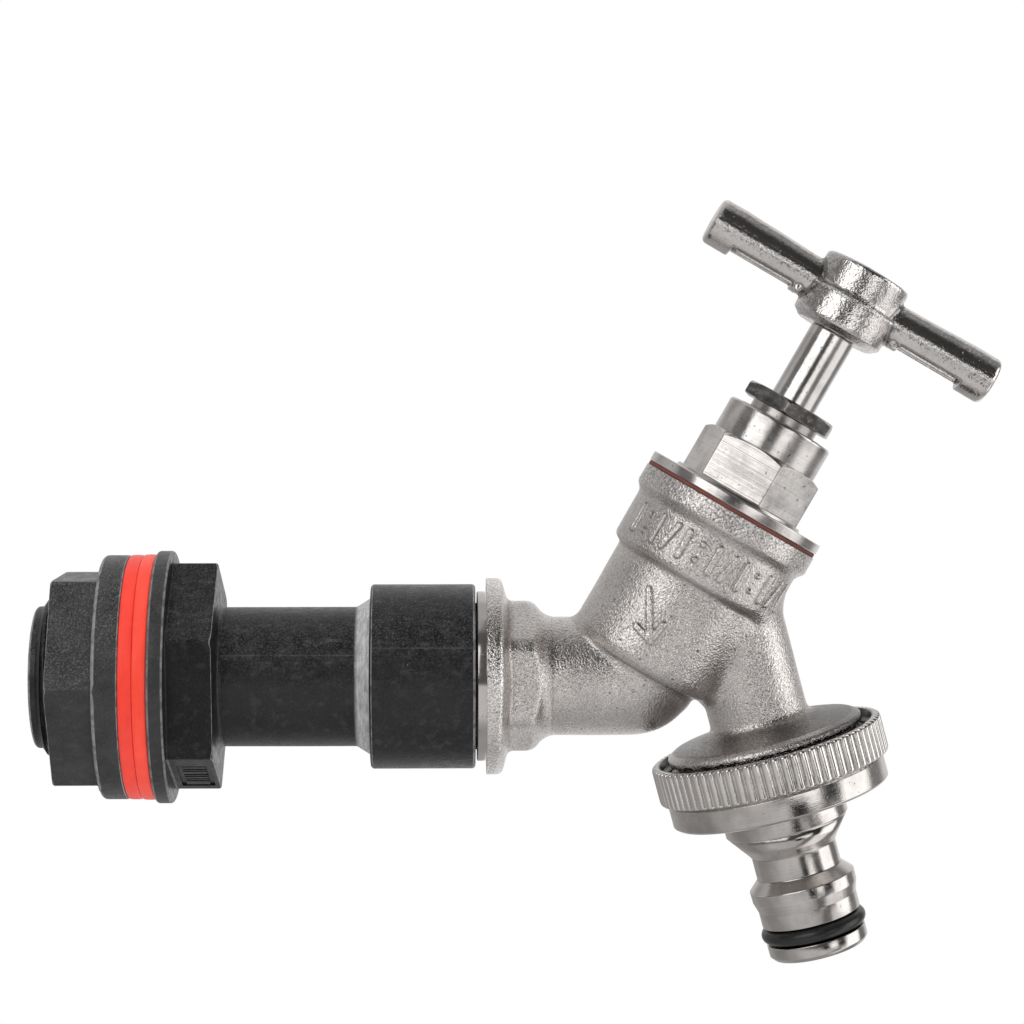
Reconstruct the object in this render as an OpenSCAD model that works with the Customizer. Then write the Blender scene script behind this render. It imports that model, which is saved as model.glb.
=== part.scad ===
// Tap with a bulkhead tail for a rain barrel or tank.
// A moulded tail is clamped through the wall by a backnut and two rubber
// washers, and carries an angled brass draw-off tap with a crutch handle and a
// screw-on hose connector.
// Frame: origin on the pipe axis, in the plane where the two wall washers meet.
// +X runs from the tank to the tap, +Z is up, -Y is the front of the tap.

/* [Tank tail] */
// Where the plain pilot end of the tail stops, inside the tank
tail_end = -17.8; // [-19:0.1:-17]
// Radius of the plain pilot end
pilot_r = 11.8; // [11.4:0.05:11.9]
// Radius over the threads of the tail
tail_thread_r = 13.15; // [13.1:0.01:13.18]
// Radius of the water way through the tail
tail_bore_r = 9.2; // [8.6:0.1:9.4]
// Radius of the flange against the tank wall
flange_r = 21.0; // [20.8:0.1:21.4]
// Far face of the wall flange
flange_x = 5.0; // [4.6:0.1:5.4]
// Corner radius of the hexagons on the tail and the backnut
big_hex_r = 19.4; // [19.2:0.1:19.8]
// Far face of the tail hexagon
tail_hex_x = 12.5; // [12:0.1:13]
// Radius of the plain neck
neck_r = 11.6; // [11.4:0.1:12]
// Start of the cone up to the coupler
cone_x = 35.5; // [34:0.1:36]
// Outer radius of the socket coupler
coupler_r = 15.35; // [15.2:0.05:15.6]
// Mouth of the socket coupler
coupler_x = 55.1; // [54.8:0.1:55.2]
// Clear radius of the threaded socket
socket_r = 13.22; // [13.2:0.01:13.3]

/* [Backnut and washers] */
// Thickness of each rubber wall washer
washer_t = 2.3; // [2:0.1:2.6]
// Radius of the rubber wall washers
washer_r = 20.45; // [20.2:0.05:20.8]
// Hole radius of the rubber wall washers
washer_hole_r = 13.5; // [13.4:0.1:14]
// Radius of the backnut flange
nut_flange_r = 20.3; // [20:0.1:20.6]
// Where the backnut flange turns into the hexagon
nut_flange_x = -6.6; // [-7:0.1:-6]
// End face of the backnut
nut_x = -14.2; // [-15:0.1:-13.5]
// Clear radius of the backnut thread
nut_bore_r = 13.22; // [13.2:0.01:13.25]

/* [Tap body] */
// Outer radius of the pipe part of the casting
pipe_r = 9.9; // [9.7:0.1:10.2]
// Where the valve barrel's axis crosses the pipe axis
barrel_x = 81.75; // [81:0.05:82.5]
// Lean of the valve barrel from upright, degrees
barrel_lean = 30; // [28:0.5:32]
// Outer radius of the valve barrel
barrel_r = 13.4; // [13.2:0.1:13.6]
// Radius of the raised band on the barrel
band_r = 14.85; // [14.6:0.05:15.2]
// Radius of the rim that the bonnet clamps down on
rim_r = 15.95; // [15.8:0.05:16.1]
// Lean of the spout from straight down, degrees
spout_lean = 15; // [14:0.5:16]
// Outer radius of the spout
spout_r = 8.3; // [8.1:0.1:8.5]
// Radius over the thread of the spout
spout_thread_r = 16.63; // [16.6:0.01:16.65]
// Radius of the spout water way
spout_bore_r = 5.8; // [5.4:0.1:6]
// Radius of the port under the valve
port_r = 5.5; // [5:0.1:5.8]
// Height of the valve seat along the barrel axis
seat_t = 10.0; // [9.8:0.1:10.2]

/* [Bonnet and gland] */
// Corner radius of the bonnet hexagon
bonnet_hex_r = 11.03; // [10.9:0.01:11.2]
// Radius of the round head above the bonnet hexagon
bonnet_top_r = 9.4; // [9.2:0.1:9.5]
// Corner radius of the gland nut hexagon
gland_hex_r = 8.85; // [8.7:0.05:9]
// Radius of the bore in the gland nut for the spindle
gland_bore_r = 4.0; // [3.98:0.01:4.02]

/* [Spindle and handle] */
// Radius of the bare spindle
spindle_r = 3.95; // [3.9:0.01:3.96]
// Radius over the thread of the spindle
spindle_thread_r = 5.5; // [5.4:0.05:5.5]
// Radius of the lower part of the handle hub
hub_r = 8.0; // [7.8:0.1:8.2]
// Radius of the upper part of the handle hub
drum_r = 7.6; // [7.4:0.1:7.7]
// Half length of the crutch bar
bar_half = 27.0; // [26:0.1:28]
// Tilt of the crutch bar off square to the spindle, degrees
bar_droop = 0.3; // [0:0.1:1]
// Radius of the crutch bar at its ends
bar_r = 4.1; // [4:0.05:4.3]

/* [Hose connector] */
// Radius over the knurled rim
knurl_r = 19.7; // [19.5:0.1:19.9]
// Radius of the smooth shoulder under the knurl
shoulder_r = 18.55; // [18.3:0.05:18.8]
// Clear radius of the connector thread
conn_thread_r = 16.7; // [16.7:0.01:16.75]
// Radius of the connector water way
nose_bore_r = 5.2; // [5:0.1:5.4]
// Radius of the connector neck
nose_neck_r = 7.22; // [7.1:0.01:7.4]
// Radius of the latch ridge
ridge_r = 9.0; // [8.9:0.05:9.1]
// Radius of the plain land of the nose
land_r = 8.4; // [8.3:0.05:8.5]

/* [Hidden] */
$fn = 64;

// The spout axis leaves the barrel axis at this height above the pipe axis
spout_t = 26.0;
spout_x = barrel_x + spout_t * sin(barrel_lean);
spout_z = spout_t * cos(barrel_lean);
// Height of the crutch bar's middle along the barrel axis
bar_t = 72.15;
// Turns of the hexagons about their own axes, as they were tightened
nut_turn = 0;
tail_turn = 23.8;
bonnet_turn = 12.9;
gland_turn = -10.1;

// Frames of the three axes: pipe along +X, barrel up and out, spout down and out
module on_pipe() rotate([0, 90, 0]) children();
module on_barrel() translate([barrel_x, 0, 0]) rotate([0, barrel_lean, 0]) children();
module on_spout() translate([spout_x, 0, spout_z]) rotate([0, 180 - spout_lean, 0]) children();

// A turned solid from its half section, as [radius, height] points
module turned(pts) rotate_extrude() polygon(pts);

// A round hole or rod between two heights
module rod(r, a, b) translate([0, 0, a]) cylinder(r = r, h = b - a);

// A hexagonal bar with chamfered corners between two heights.
// turn is the angle of one corner, cut_a and cut_b are the chamfer heights.
module hexbar(r, a, b, turn, cut_a = 0, cut_b = 0, crop = 0) {
    c = crop > 0 ? crop : r + 0.05;
    intersection() {
        rotate([0, 0, turn]) translate([0, 0, a]) cylinder(r = r, h = b - a, $fn = 6);
        // the chamfer cones run on past the end faces
        turned([[0, a - 1], [c - (cut_a > 0 ? cut_a + 1 : 0) * 1.8, a - 1],
                [c, a + cut_a], [c, b - cut_b],
                [c - (cut_b > 0 ? cut_b + 1 : 0) * 1.8, b + 1], [0, b + 1]]);
    }
}

// Moulded tail: pilot, threaded stem, wall flange, hexagon, neck and coupler
module tank_tail() color([0.17, 0.17, 0.18]) on_pipe() {
    difference() {
        union() {
            turned([[0, tail_end], [pilot_r - 0.5, tail_end], [pilot_r, tail_end + 0.5],
                    [pilot_r, tail_end + 1.3], [tail_thread_r, tail_end + 2.2],
                    [tail_thread_r, washer_t],
                    [flange_r - 0.7, washer_t], [flange_r, washer_t + 0.7],
                    [flange_r, flange_x - 0.5], [flange_r - 0.5, flange_x],
                    [neck_r + 1.6, flange_x], [neck_r + 1.6, tail_hex_x - 0.7],
                    [neck_r + 0.35, tail_hex_x + 0.2], [neck_r, tail_hex_x + 0.9],
                    [neck_r, cone_x], [neck_r + 1.45, cone_x + 2.2],
                    [coupler_r - 0.5, cone_x + 2.2], [coupler_r, cone_x + 2.7],
                    [coupler_r, coupler_x - 0.5], [coupler_r - 0.5, coupler_x],
                    [0, coupler_x]]);
            hexbar(big_hex_r, flange_x - 1, tail_hex_x, 90 - tail_turn, 0, 0.35);
        }
        // water way from the tank, and the threaded socket with its lead-in
        turned([[0, tail_end - 1], [tail_bore_r, tail_end - 1],
                [tail_bore_r, cone_x + 4.5], [socket_r, cone_x + 4.5],
                [socket_r, coupler_x - 0.6], [socket_r + 0.7, coupler_x + 0.1],
                [socket_r + 0.7, coupler_x + 1], [0, coupler_x + 1]]);
    }
}

// Backnut with its integral flange
module backnut() color([0.15, 0.15, 0.16]) on_pipe() difference() {
    union() {
        turned([[0, nut_flange_x], [nut_flange_r - 0.8, nut_flange_x],
                [nut_flange_r, nut_flange_x + 0.8], [nut_flange_r, -washer_t - 0.3],
                [nut_flange_r - 0.3, -washer_t], [0, -washer_t]]);
        hexbar(big_hex_r, nut_x, nut_flange_x + 1, 90 - nut_turn, 0.35, 0);
    }
    // thread bore with a lead-in on both faces
    turned([[0, nut_x - 1], [nut_bore_r + 1.2, nut_x - 1], [nut_bore_r + 1.2, nut_x],
            [nut_bore_r, nut_x + 1.2], [nut_bore_r, -washer_t - 0.6],
            [nut_bore_r + 0.6, -washer_t], [nut_bore_r + 0.6, -washer_t + 1],
            [0, -washer_t + 1]]);
}

// A flat rubber ring with softened rims between two heights
module flat_ring(r, hole, a, b, e) difference() {
    turned([[0, a], [r - e, a], [r, a + e], [r, b - e], [r - e, b], [0, b]]);
    rod(hole, a - 1, b + 1);
}

module inner_washer() color([0.9, 0.25, 0.18]) on_pipe()
    flat_ring(washer_r - 0.05, washer_hole_r, -washer_t, 0, 0.25);

module outer_washer() color([0.9, 0.25, 0.18]) on_pipe()
    flat_ring(washer_r + 0.05, washer_hole_r, 0, washer_t, 0.25);

// Rubber ring at the bottom of the tail socket
module inlet_seal() color([0.1, 0.1, 0.1]) on_pipe()
    flat_ring(socket_r - 0.1, tail_bore_r, cone_x + 4.5, cone_x + 6.5, 0.2);

// Cast brass body: inlet, pipe, valve barrel and spout
module tap_body() color([0.66, 0.64, 0.6]) difference() {
    union() {
        on_pipe() {
            // inlet thread, machined shoulder, flange, and the lower pipe
            turned([[0, cone_x + 6.5], [socket_r - 1.1, cone_x + 6.5],
                    [socket_r - 0.05, cone_x + 7.6], [socket_r - 0.05, 54.0],
                    [12.2, 54.3], [12.2, 55.4],
                    [13.95, 55.4], [14.15, 55.6], [14.15, 57.0],
                    [16.2, 57.0], [16.4, 57.2], [16.4, 58.7], [16.15, 59.25],
                    [15.5, 59.7], [13.2, 60.35], [12.4, 60.8],
                    [11.6, 61.5], [11.3, 64.9], [10.2, 66.4], [pipe_r, 66.9],
                    [pipe_r, 82.6], [9.5, 84.4], [8.95, 86.1], [8.0, 87.8],
                    [6.3, 89.5], [4.2, 91.0], [0, 92.0]]);
            // rounded hexagon for the spanner, with its end coned down to the pipe
            intersection() {
                translate([0, 0, 60.2]) cylinder(r = 13.16, h = 7, $fn = 6);
                turned([[0, 60.2], [12.5, 60.2], [12.5, 64.5], [12.05, 65.0],
                        [10.2, 66.5], [9.7, 66.9], [0, 66.9]]);
            }
        }
        on_barrel() {
            // valve barrel, raised band and rim
            turned([[0, 1.9], [barrel_r - 0.8, 1.9], [barrel_r, 2.7],
                    [barrel_r, 18.6], [band_r - 0.35, 19.0], [band_r, 19.9],
                    [band_r, 28.3], [band_r + 0.3, 28.8], [rim_r - 0.3, 28.9],
                    [rim_r, 29.2], [rim_r, 31.5], [rim_r - 0.2, 31.7], [0, 31.7]]);
            // core of the elbow under the barrel
            rod(barrel_r - 3.4, -1.5, 2.4);
        }
        on_spout() turned([[0, 4], [spout_r, 4], [spout_r, 30.3], [8.8, 31.1],
                    [10.3, 31.9], [12.1, 32.4], [14.0, 32.75], [15.4, 33.0], [spout_thread_r, 33.65],
                    [spout_thread_r, 34.9], [15.4, 35.1], [15.4, 36.1],
                    [spout_thread_r, 37.0], [spout_thread_r, 41.5],
                    [spout_thread_r - 0.9, 42.2], [0, 42.2]]);
    }
    // inlet water way
    on_pipe() rod(7.2, cone_x, 83.5);
    // port through the seat, and the valve chamber above it
    on_barrel() {
        rod(port_r, -1.5, seat_t + 1);
        turned([[7.6, seat_t - 1.2], [11.0, seat_t - 1.2], [11.0, 33], [0, 33],
                [0, seat_t], [7.6, seat_t]]);
    }
    // outlet water way
    on_spout() rod(spout_bore_r, 11, 44);
}

// Fibre ring between the rim and the bonnet
module bonnet_washer() color([0.55, 0.27, 0.22]) on_barrel()
    flat_ring(rim_r - 0.05, 11.1, 31.7, 32.7, 0.15);

// Turned bonnet: thread, flange, hexagon and round head, bored for the spindle
module bonnet() color([0.72, 0.7, 0.67]) on_barrel() difference() {
    union() {
        turned([[0, 23.6], [10.2, 23.6], [10.97, 24.4], [10.97, 31.2], [10.6, 31.5],
                [10.6, 32.7], [15.75, 32.7], [15.9, 32.85], [15.9, 34.1],
                [15.7, 34.3], [11.5, 34.3], [11.5, 34.9], [8.5, 34.9],
                [8.5, 43.2], [bonnet_top_r - 0.1, 43.2], [bonnet_top_r, 43.3],
                [bonnet_top_r, 48.2], [bonnet_top_r - 0.5, 48.7], [0, 48.7]]);
        hexbar(bonnet_hex_r, 34.9, 43.2, bonnet_turn - 90, 0, 1.0);
    }
    // clear thread bore, throat and gland chamber
    turned([[0, 22], [spindle_thread_r + 0.06, 22], [spindle_thread_r + 0.06, 38.6],
            [4.3, 38.6], [4.3, 40.8], [6.05, 40.8], [6.05, 50], [0, 50]]);
}

// Packing ring, its brass follower ring, and the nut that squeezes them
module gland_packing() color([0.3, 0.29, 0.27]) on_barrel()
    flat_ring(6.02, gland_bore_r, 40.8, 44.4, 0.3);

module gland_washer() color([0.7, 0.58, 0.34]) on_barrel()
    flat_ring(5.95, gland_bore_r + 0.05, 44.4, 45.6, 0.15);

module gland_nut() color([0.3, 0.29, 0.28]) on_barrel() difference() {
    union() {
        turned([[0, 45.6], [5.5, 45.6], [6.0, 46.1], [6.0, 51], [0, 51]]);
        hexbar(gland_hex_r, 50.2, 52.6, gland_turn - 90, 0.25, 0.6);
    }
    turned([[0, 45], [gland_bore_r, 45], [gland_bore_r, 52.1],
            [gland_bore_r + 0.5, 52.6], [gland_bore_r + 0.5, 54], [0, 54]]);
}

// Spindle: blind foot bore for the jumper, thread, plain rod, square for the hub
module spindle() color([0.74, 0.72, 0.69]) on_barrel() difference() {
    union() {
        turned([[0, 14.0], [4.2, 14.0], [4.6, 14.4], [4.6, 17.2],
                [spindle_thread_r - 0.6, 17.5], [spindle_thread_r, 18.1],
                [spindle_thread_r, 29.4], [spindle_thread_r - 0.6, 30.0],
                [spindle_r, 30.4], [spindle_r, 65.5], [spindle_r - 0.4, 65.9], [0, 65.9]]);
        translate([-2.5, -2.5, 65.5]) cube([5, 5, 9.9]);
    }
    // bore that guides the jumper stem
    rod(2.6, 13, 24);
    // tapped hole for the handle screw
    rod(1.75, 66.8, 76);
}

// Cast crutch handle: hub with a square hole, and a bar with two relieved arms
module crutch_handle() color([0.66, 0.64, 0.6]) on_barrel() difference() {
    union() {
        turned([[0, 65.9], [7.0, 65.9], [hub_r, 67.0], [hub_r, 68.2],
                [hub_r - 0.1, 71.8], [drum_r, 72.25], [drum_r, 76.8],
                [drum_r - 0.9, 77.8], [0, 77.8]]);
        translate([0, 0, bar_t]) rotate([0, 90 + bar_droop, 0])
            turned([[0, -bar_half], [bar_r - 1.0, -bar_half], [bar_r - 0.3, -bar_half + 0.3],
                    [bar_r, -bar_half + 1.0], [bar_r, -bar_half + 4],
                    [bar_r - 0.5, -9], [bar_r - 0.5, 9],
                    [bar_r, bar_half - 4], [bar_r, bar_half - 1.0],
                    [bar_r - 0.3, bar_half - 0.3], [bar_r - 1.0, bar_half], [0, bar_half]]);
    }
    // flat relief along the underside of each arm
    translate([0, 0, bar_t]) rotate([0, bar_droop, 0]) for (s = [-1, 1])
        translate([s * 16.2 - 6, -6, -bar_r - 3]) cube([12, 12, 3 + 1.3]);
    // square hole for the spindle, and the recess for the screw
    translate([-2.55, -2.55, 65.5]) cube([5.1, 5.1, 10.0]);
    rod(2.2, 70, 77);
    rod(4.4, 75.8, 79);
}

// Slotted pan-head screw that holds the handle down on the spindle
module handle_screw() color([0.7, 0.68, 0.65]) on_barrel() difference() {
    turned([[0, 68.4], [1.4, 68.4], [1.75, 68.8], [1.75, 75.8], [3.9, 75.8],
            [3.9, 76.8], [3.4, 77.4], [2.2, 77.6], [0, 77.6]]);
    translate([-5, -0.5, 76.9]) cube([10, 1.0, 2]);
}

// Jumper: stem in the spindle foot, disc, and a stud for the valve washer
module jumper() color([0.72, 0.6, 0.36]) on_barrel()
    turned([[0, 6.9], [1.3, 6.9], [1.6, 7.2], [1.6, seat_t + 2.0],
            [6.6, seat_t + 2.0], [6.8, seat_t + 2.2], [6.8, seat_t + 3.7],
            [6.5, seat_t + 4.0], [2.5, seat_t + 4.0],
            [2.5, 22.6], [2.1, 23.0], [0, 23.0]]);

module jumper_washer() color([0.12, 0.12, 0.12]) on_barrel()
    flat_ring(6.9, 1.62, seat_t, seat_t + 2.0, 0.3);

module jumper_nut() color([0.72, 0.6, 0.36]) on_barrel() difference() {
    hexbar(3.6, seat_t - 2.6, seat_t, 0, 0.3, 0);
    rod(1.62, 5, 12);
}

// One-piece turned hose connector: knurled rim, shoulder, neck and nose
module hose_connector() color([0.7, 0.68, 0.65]) on_spout() difference() {
    turned([[0, 34.6], [knurl_r - 0.4, 34.6], [knurl_r, 35.0], [knurl_r, 40.5],
            [knurl_r - 0.4, 40.9], [shoulder_r - 0.35, 40.9], [shoulder_r - 0.35, 41.2],
            [shoulder_r, 41.5], [shoulder_r, 44.9], [shoulder_r - 0.5, 45.35],
            [10.5, 45.35], [10.5, 49.3], [10.1, 49.7], [8.0, 52.4], [nose_neck_r, 53.4],
            [nose_neck_r, 57.5], [ridge_r - 0.1, 58.9], [ridge_r, 59.1],
            [ridge_r, 60.9], [ridge_r - 0.15, 61.1], [land_r, 62.8], [land_r, 65.5],
            [6.4, 65.5], [6.4, 68.5], [land_r + 0.05, 68.5],
            [land_r + 0.05, 70.5], [land_r - 0.55, 71.2], [0, 71.2]]);
    // thread bore with a relief at its mouth, and the water way
    turned([[0, 34], [18.2, 34], [18.2, 34.6], [conn_thread_r, 36.3],
            [conn_thread_r, 43.8], [nose_bore_r, 43.8], [nose_bore_r, 72], [0, 72]]);
}

// Rubber ring between the spout and the connector
module connector_seal() color([0.1, 0.1, 0.1]) on_spout()
    flat_ring(16.3, 6.0, 42.2, 43.8, 0.25);

// Ring seal in the groove of the nose
module nose_o_ring() color([0.07, 0.07, 0.07]) on_spout()
    rotate_extrude() translate([7.7, 67.0]) circle(r = 1.3);

tank_tail();
backnut();
inner_washer();
outer_washer();
inlet_seal();
tap_body();
bonnet_washer();
bonnet();
gland_packing();
gland_washer();
gland_nut();
spindle();
crutch_handle();
handle_screw();
jumper();
jumper_washer();
jumper_nut();
hose_connector();
connector_seal();
nose_o_ring();
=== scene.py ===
import math

import bpy
import bmesh
import numpy as np
from mathutils import Matrix, Vector


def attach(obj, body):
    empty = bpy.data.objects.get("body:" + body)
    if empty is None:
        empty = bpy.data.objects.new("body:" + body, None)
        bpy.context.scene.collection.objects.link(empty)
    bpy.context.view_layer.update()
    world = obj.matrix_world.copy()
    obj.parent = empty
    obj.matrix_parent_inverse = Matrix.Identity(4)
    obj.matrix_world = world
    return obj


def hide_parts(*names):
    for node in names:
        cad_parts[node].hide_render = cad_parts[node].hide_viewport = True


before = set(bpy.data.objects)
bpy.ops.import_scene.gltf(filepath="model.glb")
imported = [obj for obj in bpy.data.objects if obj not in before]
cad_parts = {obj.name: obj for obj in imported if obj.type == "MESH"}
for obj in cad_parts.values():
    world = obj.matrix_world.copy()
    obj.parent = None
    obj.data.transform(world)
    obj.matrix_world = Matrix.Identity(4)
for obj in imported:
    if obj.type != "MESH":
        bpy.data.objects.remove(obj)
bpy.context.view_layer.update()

MM = 0.001
scene = bpy.context.scene
scene.view_settings.view_transform = "Standard"
scene.view_settings.look = "None"

# ------------------------------------------------------------------ axes
# Three axes carry every turned piece: the pipe, the valve barrel, the spout.


def axis_frame(origin, lean):
    """Local z is the axis; the turn is about Y, in degrees. Millimetres."""
    return Matrix.Translation(Vector(origin)) @ Matrix.Rotation(math.radians(lean), 4, "Y")


BARREL_X, LEAN, SPOUT_T = 81.75, 30.0, 26.0
SPOUT_X = BARREL_X + SPOUT_T * math.sin(math.radians(LEAN))
SPOUT_Z = SPOUT_T * math.cos(math.radians(LEAN))
PIPE = axis_frame((0, 0, 0), 90)
BARREL = axis_frame((BARREL_X, 0, 0), LEAN)
SPOUT = axis_frame((SPOUT_X, 0, SPOUT_Z), 165)


def np_frame(m):
    a = np.array(m, float)
    return a[:3, :3], a[:3, 3]


# ------------------------------------------------------------------ camera
cam_data = bpy.data.cameras.new("camera")
cam = bpy.data.objects.new("camera", cam_data)
scene.collection.objects.link(cam)
cam_data.lens = 97.84
cam_data.sensor_width = 36.0
cam_data.clip_start = 0.01
cam_data.clip_end = 50.0
fwd = Vector((0.02125, 0.99782, -0.06244)).normalized()
right = Vector((0.999773, -0.021291, 0.0))
up = right.cross(fwd)
cam.matrix_world = Matrix((
    (right.x, up.x, -fwd.x, 0.051397),
    (right.y, up.y, -fwd.y, -0.462823),
    (right.z, up.z, -fwd.z, 0.056423),
    (0, 0, 0, 1)))
scene.camera = cam


# ------------------------------------------------------------------ mesh tools
def link(obj):
    scene.collection.objects.link(obj)
    return obj


def mesh_object(name, verts, faces, wear_and_shade=None):
    """verts in millimetres in the row frame, faces as an (n, 3) or (n, 4) array or a list."""
    me = bpy.data.meshes.new(name)
    v = np.asarray(verts, np.float64) * MM
    if isinstance(faces, np.ndarray):
        n, k = faces.shape
        me.vertices.add(len(v))
        me.vertices.foreach_set("co", v.astype(np.float32).ravel())
        me.loops.add(n * k)
        me.loops.foreach_set("vertex_index", faces.astype(np.int32).ravel())
        me.polygons.add(n)
        me.polygons.foreach_set("loop_start", np.arange(0, n * k, k, dtype=np.int32))
        me.update(calc_edges=True)
        me.validate()
    else:
        me.from_pydata([tuple(p) for p in v], [], faces)
        me.update()
    me.polygons.foreach_set("use_smooth", np.ones(len(me.polygons), bool))
    if wear_and_shade is not None and len(me.vertices) == len(wear_and_shade):
        a = me.attributes.new("wear_and_shade", "FLOAT", "POINT")
        a.data.foreach_set("value", np.asarray(wear_and_shade, np.float32))
    obj = bpy.data.objects.new(name, me)
    return link(obj)


def weighted(obj):
    m = obj.modifiers.new("normals", "WEIGHTED_NORMAL")
    m.mode = "FACE_AREA"
    m.weight = 80
    m.keep_sharp = True
    return obj


def soften(pts, closed=True):
    """pts is [(r, z, radius, steps)] or [(r, z)]. Returns the points and a mark for each: each corner
    with a radius becomes an arc of that many steps. The mark is 1 on a small convex arc, for edge wear, and -0.6 on a
    small concave one, which the materials turn into painted shade."""
    p = [tuple(q) + ((0.0, 0) if len(q) == 2 else ((3,) if len(q) == 3 else ())) for q in pts]
    n = len(p)
    area = sum(p[i][0] * p[(i + 1) % n][1] - p[(i + 1) % n][0] * p[i][1] for i in range(n))
    out, wear_and_shade = [], []
    for i, (r, z, rad, steps) in enumerate(p):
        if rad <= 0 or (not closed and i in (0, n - 1)):
            out.append((r, z))
            wear_and_shade.append(0.0)
            continue
        a = np.array(p[i - 1][:2]) - (r, z)
        b = np.array(p[(i + 1) % n][:2]) - (r, z)
        la, lb = np.hypot(*a), np.hypot(*b)
        a, b = a / max(la, 1e-9), b / max(lb, 1e-9)
        cosang = float(np.clip(a @ b, -1, 1))
        ang = math.acos(cosang)
        if ang > math.pi - 0.02 or ang < 0.02:
            for k in range(steps + 1):
                out.append((r, z))
                wear_and_shade.append(0.0)
            continue
        t = min(rad / math.tan(ang / 2), 0.49 * la, 0.49 * lb)
        rr = t * math.tan(ang / 2)
        c = np.array((r, z)) + (a + b) / np.hypot(*(a + b)) * rr / math.sin(ang / 2)
        s, e = np.array((r, z)) + a * t - c, np.array((r, z)) + b * t - c
        a0, a1 = math.atan2(s[1], s[0]), math.atan2(e[1], e[0])
        d = (a1 - a0 + math.pi) % (2 * math.pi) - math.pi
        cross = a[0] * b[1] - a[1] * b[0]
        convex = (cross < 0) == (area > 0)
        for k in range(steps + 1):
            th = a0 + d * k / steps
            out.append((c[0] + rr * math.cos(th), c[1] + rr * math.sin(th)))
            mid = 1.0 if 0 < k < steps or steps == 1 else 0.0
            wear_and_shade.append((mid if convex else -0.6 * mid) if rad < 1.0 else 0.0)
    return out, wear_and_shade


def even_normals(obj, P, thetas, axis):
    """Gives every turned row the same normal all the way round, whatever its facets."""
    still = (np.ptp(P[..., 0], axis=0) < 1e-6) & (np.ptp(P[..., 1], axis=0) < 1e-6)
    nt, m = P.shape[:2]
    me = obj.evaluated_get(bpy.context.evaluated_depsgraph_get()).to_mesh()
    n = np.zeros(len(me.loops) * 3, np.float32)
    me.corner_normals.foreach_get("vector", n)
    vi = np.zeros(len(me.loops), np.int32)
    me.loops.foreach_get("vertex_index", vi)
    n = n.reshape(-1, 3).astype(float)
    N = np.stack([np.bincount(vi, n[:, k], len(me.vertices)) for k in range(3)], 1)
    obj.evaluated_get(bpy.context.evaluated_depsgraph_get()).to_mesh_clear()
    R, _ = np_frame(axis)
    L = (N @ R)[:nt * m].reshape(nt, m, 3)
    c, s = np.cos(thetas)[:, None], np.sin(thetas)[:, None]
    nr, ntg, nz = L[..., 0] * c + L[..., 1] * s, L[..., 1] * c - L[..., 0] * s, L[..., 2]
    ln = np.maximum(np.sqrt(nr ** 2 + ntg ** 2 + nz ** 2), 1e-9)
    nr, ntg, nz = nr / ln, ntg / ln, nz / ln
    nr[:, still], nz[:, still], ntg[:, still] = nr[:, still].mean(0), nz[:, still].mean(0), 0.0
    out = np.stack([nr * c - ntg * s, nr * s + ntg * c, nz], -1)
    out /= np.maximum(np.linalg.norm(out, axis=-1, keepdims=True), 1e-9)
    N[:nt * m] = out.reshape(-1, 3) @ R.T
    N /= np.maximum(np.linalg.norm(N, axis=1, keepdims=True), 1e-9)
    obj.modifiers.clear()
    obj.data.normals_split_custom_set_from_vertices(N.tolist())
    return obj


def lathe(name, profile, axis, thetas, closed=True, shape=None, even=True):
    """A turned or nearly turned solid. profile is a list for soften(), or a function of
    the angle that gives one. shape(th, pts) may move the softened points. A closed
    profile makes a ring; an open one starts and ends on the axis."""
    fixed = None if callable(profile) else soften(profile, closed)
    rows, wears = [], []
    for th in thetas:
        pts, wear_and_shade = fixed if fixed else soften(profile(th), closed)
        pts = np.array(pts, float)
        if shape is not None:
            pts = shape(th, pts.copy())
        rows.append(pts)
        wears.append(wear_and_shade)
    P = np.array(rows)
    W = np.array(wears)
    th = np.asarray(thetas, float)[:, None]
    nt, m = P.shape[:2]
    V = np.stack([P[..., 0] * np.cos(th), P[..., 0] * np.sin(th), P[..., 1]], -1)
    i = np.arange(nt)
    i2 = (i + 1) % nt
    if closed:
        j = np.arange(m)
        j2 = (j + 1) % m
        a = (i[:, None] * m + j[None]).ravel()
        b = (i2[:, None] * m + j[None]).ravel()
        c = (i2[:, None] * m + j2[None]).ravel()
        d = (i[:, None] * m + j2[None]).ravel()
        F = np.stack([a, b, c, d], 1)
        verts, wear_and_shade = V.reshape(-1, 3), W.ravel()
        area = sum(P[0, k, 0] * P[0, (k + 1) % m, 1] - P[0, (k + 1) % m, 0] * P[0, k, 1] for k in range(m))
        if area < 0:
            F = F[:, ::-1]
        faces = F
    else:
        mm = m - 2
        inner = V[:, 1:-1].reshape(-1, 3)
        verts = np.vstack([inner, V[0, :1], V[0, -1:]])
        wear_and_shade = np.concatenate([W[:, 1:-1].ravel(), [0, 0]])
        lo, hi = len(inner), len(inner) + 1
        j = np.arange(mm - 1)
        a = (i[:, None] * mm + j[None]).ravel()
        b = (i2[:, None] * mm + j[None]).ravel()
        F = np.stack([a, b, b + 1, a + 1], 1)
        faces = [tuple(q) for q in F.tolist()]
        faces += [(lo, int(b0) * mm, int(a0) * mm) for a0, b0 in zip(i, i2)]
        faces += [(hi, int(a0) * mm + mm - 1, int(b0) * mm + mm - 1) for a0, b0 in zip(i, i2)]
        area = sum(P[0, k, 0] * P[0, (k + 1) % m, 1] - P[0, (k + 1) % m, 0] * P[0, k, 1] for k in range(m))
        if area < 0:
            faces = [f[::-1] for f in faces]
    R, t = np_frame(axis)
    obj = weighted(mesh_object(name, verts @ R.T + t, faces, wear_and_shade))
    if even and len(obj.data.vertices) == len(verts):
        even_normals(obj, P if closed else P[:, 1:-1], np.asarray(thetas, float), axis)
    return obj


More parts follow.
